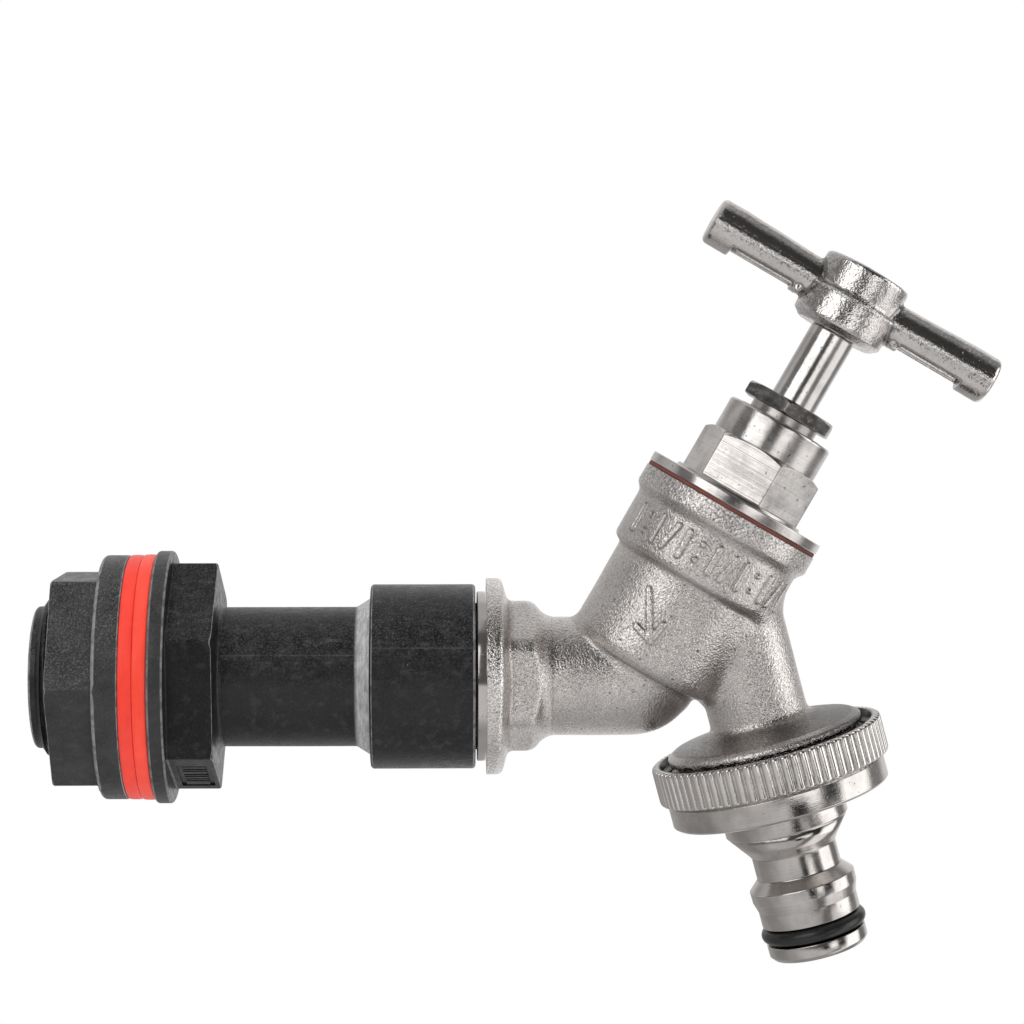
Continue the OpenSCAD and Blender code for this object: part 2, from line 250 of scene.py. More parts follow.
def ring(n, extra=()):
    """n even angles, with extra ones put in. Close neighbours are dropped."""
    base = [2 * math.pi * k / n for k in range(n)]
    ex = sorted(e % (2 * math.pi) for e in extra)
    gap = math.pi / n * 0.55
    keep = [b for b in base if all(abs((b - e + math.pi) % (2 * math.pi) - math.pi) > gap for e in ex)]
    return sorted(keep + ex)


def hexagon(corner_r, turn, rc):
    """(radius as a function of the angle, the angles that its corners need)."""
    a = corner_r * math.cos(math.pi / 6)
    d = (a - rc) / math.cos(math.pi / 6)
    phi_t = math.atan((a - rc) * math.tan(math.pi / 6) / a)

    def radius(th):
        ph = (th - turn) % (math.pi / 3) - math.pi / 6      # 0 in the middle of a face
        if abs(ph) <= phi_t:
            return a / math.cos(ph)
        de = math.pi / 6 - abs(ph)
        return d * math.cos(de) + math.sqrt(max(rc * rc - (d * math.sin(de)) ** 2, 0))

    extra = []
    for k in range(6):
        c = turn + k * math.pi / 3
        for s in (-1, 1):
            for w in (1.0, 0.55, 0.15):
                extra.append(c + s * (math.pi / 6 - phi_t) * w)
    return radius, extra


def value_noise(p, seed=0):
    """Smooth noise in -1..1 for points p, one cell a unit."""
    p = np.asarray(p, float)
    i = np.floor(p).astype(np.int64)
    f = p - i
    f = f * f * (3 - 2 * f)
    out = np.zeros(len(p))
    for dx in (0, 1):
        for dy in (0, 1):
            for dz in (0, 1):
                h = ((i[:, 0] + dx) * 73856093) ^ ((i[:, 1] + dy) * 19349663) ^ ((i[:, 2] + dz) * 83492791) ^ (seed * 2654435761)
                h = (h ^ (h >> 13)) * 1274126177 & 0xFFFFFFFF
                h = (h ^ (h >> 16)) & 0xFFFF
                w = (f[:, 0] if dx else 1 - f[:, 0]) * (f[:, 1] if dy else 1 - f[:, 1]) * (f[:, 2] if dz else 1 - f[:, 2])
                out += w * (h / 32767.5 - 1)
    return out


# ------------------------------------------------------------------ castings
# A casting is a smooth field: negative inside, positive outside. Its parts are
# joined with round fillets, and the surface is meshed and drawn onto the field.


def f_poly(poly, r, z):
    """Signed distance to a closed polygon [(r, z)] in a half plane."""
    poly = np.asarray(poly, float)
    d = np.full(r.shape, 1e9)
    s = np.ones(r.shape)
    n = len(poly)
    for i in range(n):
        a, b = poly[i], poly[i - 1]
        ex, ey = b - a
        wx, wy = r - a[0], z - a[1]
        t = np.clip((wx * ex + wy * ey) / max(ex * ex + ey * ey, 1e-12), 0, 1)
        d = np.minimum(d, (wx - ex * t) ** 2 + (wy - ey * t) ** 2)
        c1, c2 = z >= a[1], z < b[1]
        c3 = ex * wy > ey * wx
        flip = (c1 & c2 & c3) | (~c1 & ~c2 & ~c3)
        s = np.where(flip, -s, s)
    return s * np.sqrt(d)


def f_turned(profile, r, z):
    """profile is a list for soften() that starts and ends on the axis."""
    pts, _ = soften(profile, closed=False)
    pts = np.array(pts)
    mirror = pts[::-1] * (-1, 1)
    return f_poly(np.vstack([pts, mirror[1:-1]]), r, z)


def join(a, b, k):
    u, v = np.maximum(k - a, 0), np.maximum(k - b, 0)
    return np.maximum(k, np.minimum(a, b)) - np.hypot(u, v)


def cross(a, b, k):
    u, v = np.maximum(k + a, 0), np.maximum(k + b, 0)
    return np.minimum(-k, np.maximum(a, b)) + np.hypot(u, v)


def cut(a, b, k):
    return cross(a, -b, k)


def f_box(p, lo, hi, r=0.0):
    c, h = (np.array(lo) + hi) / 2, (np.array(hi) - lo) / 2 - r
    q = np.abs(p - c) - h
    return np.linalg.norm(np.maximum(q, 0), axis=1) + np.minimum(q.max(1), 0) - r


def f_seg(u, v, a, b):
    """Distance in a plane from a segment."""
    ex, ey = b[0] - a[0], b[1] - a[1]
    wx, wy = u - a[0], v - a[1]
    t = np.clip((wx * ex + wy * ey) / max(ex * ex + ey * ey, 1e-9), 0, 1)
    return np.hypot(wx - ex * t, wy - ey * t)


def step(x, e0, e1):
    t = np.clip((x - e0) / (e1 - e0), 0, 1)
    return t * t * (3 - 2 * t)


def chunked(f, p, size=60000):
    return np.concatenate([f(p[i:i + size]) for i in range(0, len(p), size)]) if len(p) else np.zeros(0)


def gradient(f, p, e=0.03):
    g = np.empty_like(p)
    for k in range(3):
        o = np.zeros(3)
        o[k] = e
        g[:, k] = (chunked(f, p + o) - chunked(f, p - o)) / (2 * e)
    return g


def settle(f, p, rounds=3, most=0.35):
    for _ in range(rounds):
        d = chunked(f, p)
        g = gradient(f, p)
        stepv = d[:, None] * g / np.maximum((g * g).sum(1), 0.2)[:, None]
        ln = np.linalg.norm(stepv, axis=1)
        p = p - stepv * np.minimum(1, most / np.maximum(ln, 1e-9))[:, None]
    return p


def surface_net(f, lo, hi, h):
    """Quads round the zero of f, on a grid of step h. Only cells near it are read."""
    lo = np.array(lo, float)
    n = np.ceil((np.array(hi) - lo) / h).astype(int) + 1
    B = 6
    nb = -(-n // B)
    bi = np.stack(np.meshgrid(*[np.arange(k) for k in nb], indexing="ij"), -1).reshape(-1, 3)
    centres = lo + (bi * B + B / 2) * h
    dc = chunked(f, centres)
    near = np.abs(dc) < B * h * 0.87 * 1.25 + 0.6
    G = np.full(tuple(nb * B), 9.0, np.float32)
    sign = np.where(dc.reshape(tuple(nb)) < 0, -9.0, 9.0).astype(np.float32)
    G = np.repeat(np.repeat(np.repeat(sign, B, 0), B, 1), B, 2)
    off = np.stack(np.meshgrid(*[np.arange(B)] * 3, indexing="ij"), -1).reshape(-1, 3)
    cells = (bi[near][:, None] * B + off[None]).reshape(-1, 3)
    G[cells[:, 0], cells[:, 1], cells[:, 2]] = chunked(f, lo + cells * h)
    S = G < 0
    nx, ny, nz = G.shape
    cell = np.zeros((nx, ny, nz), bool)
    acc = np.zeros((nx * ny * nz, 3))
    cnt = np.zeros(nx * ny * nz)
    quads = []
    idx = np.arange(nx * ny * nz).reshape(nx, ny, nz)
    strides = (ny * nz, nz, 1)
    for ax in range(3):
        s0 = [slice(None)] * 3
        s1 = [slice(None)] * 3
        s0[ax], s1[ax] = slice(0, -1), slice(1, None)
        ch = S[tuple(s0)] != S[tuple(s1)]
        e = np.argwhere(ch)
        if not len(e):
            continue
        ok = np.ones(len(e), bool)
        for k in range(3):
            if k != ax:
                ok &= e[:, k] > 0
        e = e[ok]
        e2 = e.copy()
        e2[:, ax] += 1
        v0 = G[e[:, 0], e[:, 1], e[:, 2]]
        v1 = G[e2[:, 0], e2[:, 1], e2[:, 2]]
        t = (v0 / (v0 - v1))
        pt = e.astype(float)
        pt[:, ax] += t
        base = e @ np.array(strides)
        o1, o2 = [(1, 2), (2, 0), (0, 1)][ax]
        c = [base, base - strides[o1], base - strides[o1] - strides[o2], base - strides[o2]]
        for q in c:
            np.add.at(cnt, q, 1)
            for k in range(3):
                np.add.at(acc[:, k], q, pt[:, k])
        Q = np.stack(c, 1)
        inside = v0 < 0
        Q[~inside] = Q[~inside][:, ::-1]
        quads.append(Q)
    Q = np.concatenate(quads)
    used = np.flatnonzero(cnt)
    number = np.full(len(cnt), -1)
    number[used] = np.arange(len(used))
    V = lo + acc[used] / cnt[used][:, None] * h
    return V, number[Q]


def casting(name, f, lo, hi, h, axis=None, refine=(), calm=2):
    """Meshes f. refine is [(test, levels)]: faces whose middle passes the test are
    split that many times. axis maps the field's own frame to the row frame."""
    V, Q = surface_net(f, lo, hi, h)
    V = settle(f, V, 2, h * 0.8)
    n = len(V)
    for _ in range(calm):                      # even out the net along the surface
        s = np.zeros_like(V)
        c = np.zeros(n)
        for a, b in ((0, 1), (1, 2), (2, 3), (3, 0)):
            for u, v in ((a, b), (b, a)):
                for k in range(3):
                    s[:, k] += np.bincount(Q[:, u], V[Q[:, v], k], n)
                c += np.bincount(Q[:, u], None, n)
        V = V * 0.4 + s / np.maximum(c, 1)[:, None] * 0.6
        V = settle(f, V, 1, h * 0.8)
    if refine:
        bm = bmesh.new()
        vs = [bm.verts.new(p) for p in V.tolist()]
        for q in Q.tolist():
            if len(set(q)) == 4:
                try:
                    bm.faces.new([vs[i] for i in q])
                except ValueError:
                    pass
        for test, levels in refine:
            for _ in range(levels):
                mids = np.array([fc.calc_center_median() for fc in bm.faces])
                hit = test(mids)
                edges = {e for fc, x in zip(bm.faces, hit) if x for e in fc.edges}
                bmesh.ops.subdivide_edges(bm, edges=list(edges), cuts=1, use_grid_fill=True)
        bmesh.ops.triangulate(bm, faces=[fc for fc in bm.faces if len(fc.verts) > 4])
        bm.verts.index_update()
        V = np.array([v.co for v in bm.verts])
        faces = [[v.index for v in fc.verts] for fc in bm.faces]
        bm.free()
        V = settle(f, V, 2, h * 0.5)
    else:
        faces = Q
    # a mark per vertex from the field's curvature: above 0 on edges, for wear, and below 0 in hollows, where the
    # materials paint shade
    e = 0.35
    lap = -6 * chunked(f, V)
    for k in range(3):
        o = np.zeros(3)
        o[k] = e
        lap += chunked(f, V + o) + chunked(f, V - o)
    wear_and_shade = np.clip(lap / (e * e) * 0.9 - 0.12, -1, 1)
    if axis is not None:
        R, t = np_frame(axis)
        V = V @ R.T + t
    return mesh_object(name, V, faces, wear_and_shade)


def boolean(obj, other, how):
    """Applies a boolean of obj with other, and removes other."""
    m = obj.modifiers.new("b", "BOOLEAN")
    m.operation = how
    m.solver = "MANIFOLD"
    m.object = other
    dg = bpy.context.evaluated_depsgraph_get()
    me = bpy.data.meshes.new_from_object(obj.evaluated_get(dg))
    obj.modifiers.remove(m)
    old = obj.data
    obj.data = me
    me.name = obj.name
    bpy.data.meshes.remove(old)
    bpy.data.objects.remove(other)
    return obj


# ------------------------------------------------------------------ materials
class Net:
    """Nodes made with short calls. Lengths are in millimetres on the object."""

    def __init__(self, tree):
        self.tree = tree
        tree.nodes.clear()

    def node(self, kind, inputs=None, **attrs):
        n = self.tree.nodes.new(kind)
        for k, v in attrs.items():
            setattr(n, k, v)
        for k, v in (inputs or {}).items():
            if isinstance(v, bpy.types.NodeSocket):
                self.tree.links.new(v, n.inputs[k])
            else:
                n.inputs[k].default_value = v
        return n

    def math(self, op, a, b=0.0, c=0.0, clamp=False):
        return self.node("ShaderNodeMath", {0: a, 1: b, 2: c}, operation=op, use_clamp=clamp).outputs[0]

    def fade(self, v, a, b, lo=0.0, hi=1.0):
        return self.node("ShaderNodeMapRange", {0: v, 1: a, 2: b, 3: lo, 4: hi},
                         interpolation_type="SMOOTHSTEP").outputs[0]

    def line(self, v, a, b, lo=0.0, hi=1.0):
        return self.node("ShaderNodeMapRange", {0: v, 1: a, 2: b, 3: lo, 4: hi}).outputs[0]

    def noise(self, p, scale, detail=2.0, rough=0.5, dist=0.0):
        return self.node("ShaderNodeTexNoise", {"Vector": p, "Scale": scale, "Detail": detail,
                                                "Roughness": rough, "Distortion": dist}).outputs[0]

    def noise1(self, w, scale, detail=2.0, rough=0.5):
        return self.node("ShaderNodeTexNoise", {"W": w, "Scale": scale, "Detail": detail, "Roughness": rough},
                         noise_dimensions="1D").outputs[0]

    def cells(self, p, scale, out="Distance"):
        return self.node("ShaderNodeTexVoronoi", {"Vector": p, "Scale": scale}).outputs[out]

    def mix(self, f, a, b):
        return self.node("ShaderNodeMix", {0: f, 6: a, 7: b}, data_type="RGBA").outputs[2]

    def mm(self):
        co = self.node("ShaderNodeTexCoord").outputs["Object"]
        return self.node("ShaderNodeVectorMath", {0: co, "Scale": 1000.0}, operation="SCALE").outputs[0]

    def stretched(self, p, scale):
        return self.node("ShaderNodeVectorMath", {0: p, 1: scale}, operation="MULTIPLY").outputs[0]

    # the per-vertex mark: edges for wear, hollows for painted shade
    def wear_and_shade(self):
        return self.node("ShaderNodeAttribute", attribute_name="wear_and_shade").outputs["Fac"]

    def along(self, p, axis):
        """(height along the axis, radius) of p in an axis frame."""
        R, t = np_frame(axis)
        q = self.node("ShaderNodeVectorMath", {0: p, 1: tuple(t)}, operation="SUBTRACT").outputs[0]
        z = self.node("ShaderNodeVectorMath", {0: q, 1: tuple(R[:, 2])}, operation="DOT_PRODUCT").outputs["Value"]
        ax = self.node("ShaderNodeVectorMath", {0: tuple(R[:, 2]), "Scale": z}, operation="SCALE").outputs[0]
        off = self.node("ShaderNodeVectorMath", {0: q, 1: ax}, operation="SUBTRACT").outputs[0]
        r = self.node("ShaderNodeVectorMath", {0: off}, operation="LENGTH").outputs["Value"]
        return z, r

    def bump(self, height, mm, normal=None, strength=1.0):
        n = self.node("ShaderNodeBump", {"Strength": strength, "Distance": mm * MM, "Height": height})
        if normal is not None:
            self.tree.links.new(normal, n.inputs["Normal"])
        return n.outputs[0]


def material(name, metallic, **fixed):
    m = bpy.data.materials.new(name)
    m.use_nodes = True
    net = Net(m.node_tree)
    bsdf = net.node("ShaderNodeBsdfPrincipled", {"Metallic": metallic, **fixed})
    net.node("ShaderNodeOutputMaterial", {"Surface": bsdf.outputs[0]})

    def use(**sockets):
        for k, v in sockets.items():
            k = k.replace("_", " ")
            if isinstance(v, bpy.types.NodeSocket):
                net.tree.links.new(v, bsdf.inputs[k])
            else:
                bsdf.inputs[k].default_value = v
        return m

    return net, use


def moulded_plastic(name, body=(0.0065, 0.0065, 0.007, 1), grain=1.0, ring=None):
    """Black moulded plastic: fine speckle, scuffed light edges."""
    net, use = material(name, 0.0, **{"IOR": 1.46})
    p = net.mm()
    wear_and_shade = net.wear_and_shade()
    broad = net.noise(p, 0.16, 3, 0.55)
    cloud = net.noise(p, 0.55, 4, 0.65)
    speck = net.noise(p, 4.2, 2, 0.6)
    dots = net.noise(p, 2.6, 1, 0.5)
    flow = net.noise(net.stretched(p, (0.25, 1.0, 1.0)), 1.3, 4, 0.6)
    scratch = net.noise(net.stretched(p, (9.0, 0.35, 0.35)), 1.0, 3, 0.65)
    edge = net.math("MULTIPLY", net.fade(wear_and_shade, 0.30, 0.95), net.fade(net.noise(p, 0.6, 3, 0.6), 0.34, 0.60, 0.40, 1.0))
    facing = net.node("ShaderNodeSeparateXYZ", {0: net.node("ShaderNodeNewGeometry").outputs["Normal"]}).outputs[2]
    # top marks the upward-facing sides: the pale specks and sparks below are painted stronger there, a painted sheen
    # and glints as if lit from above
    top = net.fade(facing, 0.05, 0.55)
    grit = net.noise(p, 3.4, 1.5, 0.6)
    pale = net.math("MULTIPLY", net.fade(speck, 0.50, 0.72), net.math("ADD", 0.16 * grain, net.math("MULTIPLY", top, 0.34 * grain)))
    pale = net.math("ADD", pale, net.math("MULTIPLY", net.fade(cloud, 0.50, 0.70), 0.16), clamp=True)
    col = net.mix(net.line(broad, 0.3, 0.7), (body[0] * 0.6, body[1] * 0.6, body[2] * 0.6, 1), (body[0] * 1.4, body[1] * 1.4, body[2] * 1.4, 1))
    col = net.mix(pale, col, (0.082, 0.082, 0.084, 1))
    spark = net.math("MULTIPLY", net.fade(grit, 0.50, 0.72), net.math("MULTIPLY", net.math("ADD", 0.03, net.math("MULTIPLY", top, 0.30)), 0.5 * grain), clamp=True)
    col = net.mix(spark, col, (0.20, 0.20, 0.20, 1))
    col = net.mix(net.fade(dots, 0.81, 0.87), col, (0.35, 0.34, 0.32, 1))
    col = net.mix(net.math("MULTIPLY", edge, 0.78), col, (0.30, 0.30, 0.305, 1))
    if ring:
        # the mould's parting line, painted a hair lighter along the front and the back as a highlight on its ridge
        q = net.node("ShaderNodeSeparateXYZ", {0: p}).outputs
        ca, sa = math.cos(math.radians(246.0)), math.sin(math.radians(246.0))
        away = net.math("ABSOLUTE", net.math("ADD", net.math("MULTIPLY", q[1], ca), net.math("MULTIPLY", q[2], sa)))
        line = net.math("MULTIPLY", net.fade(away, 0.17, 0.04), net.fade(q[0], 13.0, 13.6))
        col = net.mix(net.math("MULTIPLY", line, net.fade(cloud, 0.3, 0.6, 0.08, 0.34)), col, (0.085, 0.085, 0.083, 1))
        # lighter mottled scuffs, stronger on the sides that face up: partly scuffing, partly a painted sheen from above
        scuff_and_top_sheen = net.math("MULTIPLY", net.fade(net.noise(net.stretched(p, (0.5, 1.2, 1.2)), 0.5, 5.0, 0.68), 0.53, 0.68), net.fade(facing, -0.25, 0.35))
        col = net.mix(net.math("MULTIPLY", scuff_and_top_sheen, 0.24), col, (0.10, 0.098, 0.094, 1))
        wall = net.math("MULTIPLY", net.fade(q[0], 2.1, 2.4), net.fade(q[0], 5.1, 4.9))
        col = net.mix(net.math("MULTIPLY", wall, 0.30), col, (0.055, 0.055, 0.056, 1))
        calm = net.math("MULTIPLY", net.fade(q[0], 5.0, 5.3), net.fade(q[0], 12.6, 12.4))
    rough = net.math("ADD", net.line(cloud, 0.35, 0.65, 0.24, 0.40), net.math("MULTIPLY", edge, 0.15))
    rough = net.math("ADD", rough, net.math("MULTIPLY", net.fade(scratch, 0.56, 0.7), 0.10))
    if ring:
        # a lighter grey ring on the coupler's cone: a scuffed satin finish, with a painted sheen of the side lights, a
        # little stronger on the upper side
        z, rr = net.along(p, PIPE)
        m = net.math("MULTIPLY", net.fade(z, ring[0] - 0.35, ring[0] + 0.45), net.fade(z, ring[1] + 0.12, ring[1] - 0.1))
        m = net.math("MULTIPLY", m, net.fade(rr, 11.2, 11.5))
        m = net.math("MULTIPLY", m, net.line(net.noise1(net.math("ADD", z, rr), 4.0, 2.0), 0.3, 0.7, 0.75, 1.0))
        m = net.math("MULTIPLY", m, net.fade(facing, -0.9, 0.7, 0.86, 1.0))
        col = net.mix(m, col, net.mix(net.line(net.noise(net.stretched(p, (2.0, 0.5, 0.5)), 0.9, 4, 0.65), 0.30, 0.70), (0.27, 0.275, 0.275, 1), (0.62, 0.625, 0.625, 1)))
        rough = net.math("SUBTRACT", rough, net.math("MULTIPLY", m, 0.05))
    h1 = net.bump(speck, 0.030 * grain)
    h2 = net.bump(net.noise(p, 1.1, 3, 0.5), 0.06, h1)
    h3 = net.bump(scratch, 0.010, h2)
    if ring:
        use(Specular_IOR_Level=net.line(calm, 0.0, 1.0, 0.5, 0.24))
    return use(Base_Color=col, Roughness=rough, Normal=h3)


def rubber(name, col_a, col_b, grain=3.5, rough=(0.45, 0.62), depth=0.02, sheen=0.0):
    net, use = material(name, 0.0, **{"IOR": 1.48, "Sheen Weight": sheen, "Sheen Roughness": 0.4})
    p = net.mm()
    a = net.noise(p, 0.35, 3, 0.6)
    b = net.noise(p, grain, 3, 0.6)
    edge = net.fade(net.wear_and_shade(), 0.3, 1.0)
    col = net.mix(net.line(a, 0.3, 0.7), col_a, col_b)
    col = net.mix(net.math("MULTIPLY", net.fade(b, 0.58, 0.75), 0.35), col, tuple(min(1, c * 1.35) for c in col_b[:3]) + (1,))
    col = net.mix(net.math("MULTIPLY", edge, 0.3), col, tuple(min(1, c * 1.2 + 0.03) for c in col_b[:3]) + (1,))
    return use(Base_Color=col, Roughness=net.line(b, 0.3, 0.7, *rough),
               Normal=net.bump(net.noise(p, 0.8, 2), 0.05, net.bump(b, depth)))


def cast_nickel(name, tint=(0.615, 0.582, 0.562), grain=1.0, rough=(0.19, 0.27), scale=3.2, dull_flange=False):
    """Nickel over a shot-blasted casting: close grain, small pits, burnished edges."""
    net, use = material(name, 1.0)
    p = net.mm()
    wear_and_shade = net.wear_and_shade()
    fine = net.noise(p, scale * 0.84, 1.5, 0.55)
    grit = net.noise(p, scale * 1.6, 1.0, 0.5)
    mid = net.noise(p, scale * 0.36, 3.0, 0.6)
    broad = net.noise(p, 0.13, 3.0, 0.5)
    spots = net.noise(p, 1.55, 1.0, 0.5)
    pits = net.fade(spots, 0.285, 0.20)
    edge = net.fade(wear_and_shade, 0.25, 0.95)
    nook = net.fade(wear_and_shade, -0.25, -0.9)
    a = tuple(c * 0.88 for c in tint) + (1,)
    b = tuple(min(1, c * 1.10) for c in tint) + (1,)
    col = net.mix(net.line(broad, 0.32, 0.68), a, b)
    clean = 0.0
    if dull_flange:
        zp, rp = net.along(p, PIPE)
        clean = net.math("MULTIPLY", net.fade(zp, 57.1, 56.9), net.fade(rp, 14.6, 14.4))
    rough_cast = net.math("SUBTRACT", 1.0, clean)
    col = net.mix(net.math("MULTIPLY", net.fade(fine, 0.47, 0.34), net.math("MULTIPLY", rough_cast, 0.36)), col, tuple(c * 0.42 for c in tint) + (1,))
    col = net.mix(net.math("MULTIPLY", net.fade(grit, 0.53, 0.64), net.math("MULTIPLY", rough_cast, 0.50)), col, (1.0, 0.975, 0.96, 1))
    # hollows darkened: partly oxide in them, partly painted shade where shade falls
    col = net.mix(net.math("MULTIPLY", nook, 0.30), col, tuple(c * 0.45 for c in tint) + (1,))
    col = net.mix(net.math("MULTIPLY", pits, 0.7), col, tuple(c * 0.22 for c in tint) + (1,))
    col = net.mix(net.math("MULTIPLY", edge, 0.30), col, (0.80, 0.785, 0.77, 1))
    r = net.line(mid, 0.3, 0.7, *rough)
    if dull_flange:
        # the sandy cone of the spout's flange, wider and darker towards +x: the sand is its finish, and the darkening
        # on that side is painted shade, as if the body shades it
        z, rr = net.along(p, SPOUT)
        m = net.math("MULTIPLY", net.fade(z, 30.6, 31.8), net.fade(z, 35.2, 34.9))
        m = net.math("MULTIPLY", m, net.math("MAXIMUM", net.fade(rr, 15.75, 15.35, 0.12, 1.0), net.fade(net.node("ShaderNodeSeparateXYZ", {0: p}).outputs[0], 108.0, 114.0, 0.0, 0.8)))
        sand = net.fade(net.noise(p, 3.1, 1.5, 0.6), 0.42, 0.60)
        side = net.node("ShaderNodeSeparateXYZ", {0: p}).outputs[0]
        sandy = net.mix(sand, (0.19, 0.181, 0.174, 1), (0.50, 0.48, 0.463, 1))
        sandy = net.mix(net.fade(side, 104.0, 113.0, 0.0, 0.88), sandy, (0.075, 0.071, 0.068, 1))
        col = net.mix(net.math("MULTIPLY", m, 0.9), col, sandy)
        r = net.math("ADD", r, net.math("MULTIPLY", m, 0.10))
        z2, r2 = net.along(p, BARREL)
        rim = net.math("MULTIPLY", net.fade(z2, 28.7, 29.1), net.fade(r2, 15.2, 15.6))
        hoop = net.math("MULTIPLY", net.math("MULTIPLY", net.fade(zp, 60.0, 59.0), net.fade(rp, 15.3, 16.0)), net.fade(zp, 56.8, 57.1))
        chip = net.noise(p, 2.6, 2.0, 0.6)
        col = net.mix(net.math("MULTIPLY", rim, net.fade(chip, 0.47, 0.36, 0.0, 0.55)), col, (0.14, 0.132, 0.127, 1))
        col = net.mix(net.math("MULTIPLY", rim, net.fade(chip, 0.52, 0.62, 0.0, 0.6)), col, (1.0, 0.98, 0.96, 1))
        col = net.mix(net.math("MULTIPLY", hoop, net.fade(chip, 0.42, 0.54, 0.10, 0.80)), col, (1.0, 0.975, 0.955, 1))
        r = net.math("SUBTRACT", r, net.math("MULTIPLY", hoop, 0.06))
        r = net.math("SUBTRACT", r, net.math("MULTIPLY", clean, 0.12))
    r = net.math("SUBTRACT", r, net.math("MULTIPLY", edge, 0.07))
    h = net.bump(net.math("MULTIPLY", fine, rough_cast), 0.135 * grain)
    h = net.bump(net.math("MULTIPLY", grit, rough_cast), 0.055 * grain, h)
    h = net.bump(net.math("MULTIPLY", mid, rough_cast), 0.07 * grain, h)
    h = net.bump(pits, -0.10, h)
    return use(Base_Color=col, Roughness=r, Normal=h)


def turned_metal(name, axis, tint=(0.65, 0.622, 0.605), marks=1.0, rough=(0.14, 0.24), stain=0.25, lines=6.0, mottle=0.0, flat=1.0, nicks=0.0):
    """Bright turned metal: rings from the tool round the axis, faint stains and pits."""
    net, use = material(name, 1.0)
    p = net.mm()
    wear_and_shade = net.wear_and_shade()
    z, r = net.along(p, axis)
    w = net.math("ADD", z, net.math("MULTIPLY", r, flat))
    rings = net.noise1(w, lines, 3.0, 0.7)
    bands = net.noise1(w, 0.9, 2.0, 0.5)
    broad = net.noise(p, 0.22, 3.0, 0.55)
    spots = net.noise(p, 2.2, 1.0, 0.5)
    pits = net.fade(spots, 0.27, 0.19)
    edge = net.fade(wear_and_shade, 0.3, 0.95)
    nook = net.fade(wear_and_shade, -0.2, -0.8)
    a = tuple(c * (1 - stain) for c in tint) + (1,)
    b = tuple(min(1, c * 1.10) for c in tint) + (1,)
    col = net.mix(net.line(broad, 0.35, 0.6), a, b)
    col = net.mix(net.math("MULTIPLY", net.fade(rings, 0.42, 0.28), 0.16 + 0.14 * marks), col, tuple(c * 0.45 for c in tint) + (1,))
    if mottle:
        rust = net.noise(p, 0.9, 5.0, 0.75)
        col = net.mix(net.math("MULTIPLY", net.fade(rust, 0.52, 0.66), mottle), col, tuple(min(1, c * 2.6) for c in tint) + (1,))
        col = net.mix(net.math("MULTIPLY", net.fade(rust, 0.46, 0.34), mottle), col, tuple(c * 0.4 for c in tint) + (1,))
        col = net.mix(net.fade(z, 50.2, 50.1, 0.0, 0.85), col, (0.52, 0.50, 0.485, 1))
    # hollows darkened: partly oxide in them, partly painted shade where shade falls
    col = net.mix(net.math("MULTIPLY", nook, 0.4), col, tuple(c * 0.4 for c in tint) + (1,))
    col = net.mix(net.math("MULTIPLY", pits, 0.5), col, tuple(c * 0.3 for c in tint) + (1,))
    col = net.mix(net.math("MULTIPLY", edge, 0.4 + 0.45 * mottle), col, (0.86, 0.85, 0.83, 1))
    if axis is SPOUT:                           # bright teeth, and shade inside the rim round the tap's flange
        col = net.mix(net.fade(r, 18.9, 19.35, 0.0, 0.42), col, (0.90, 0.875, 0.855, 1))
        col = net.mix(net.math("MULTIPLY", net.fade(r, 18.75, 18.5), net.fade(z, 36.9, 36.6)), col, tuple(c * 0.06 for c in tint) + (1,))
    if nicks:
        nick = net.fade(net.noise(p, 1.15, 2.5, 0.6), 0.315, 0.27)
        col = net.mix(net.math("MULTIPLY", nick, nicks), col, tuple(c * 0.2 for c in tint) + (1,))
    ro = net.math("ADD", net.line(bands, 0.3, 0.7, *rough), net.math("MULTIPLY", net.fade(broad, 0.5, 0.7), 0.06))
    h = net.bump(rings, 0.010 * marks)
    h = net.bump(net.noise(p, 7.0, 2.0, 0.6), 0.008, h)
    h = net.bump(net.noise(p, 0.5, 2.0, 0.5), 0.03, h)
    h = net.bump(pits, -0.05, h)
    return use(Base_Color=col, Roughness=ro, Normal=h)


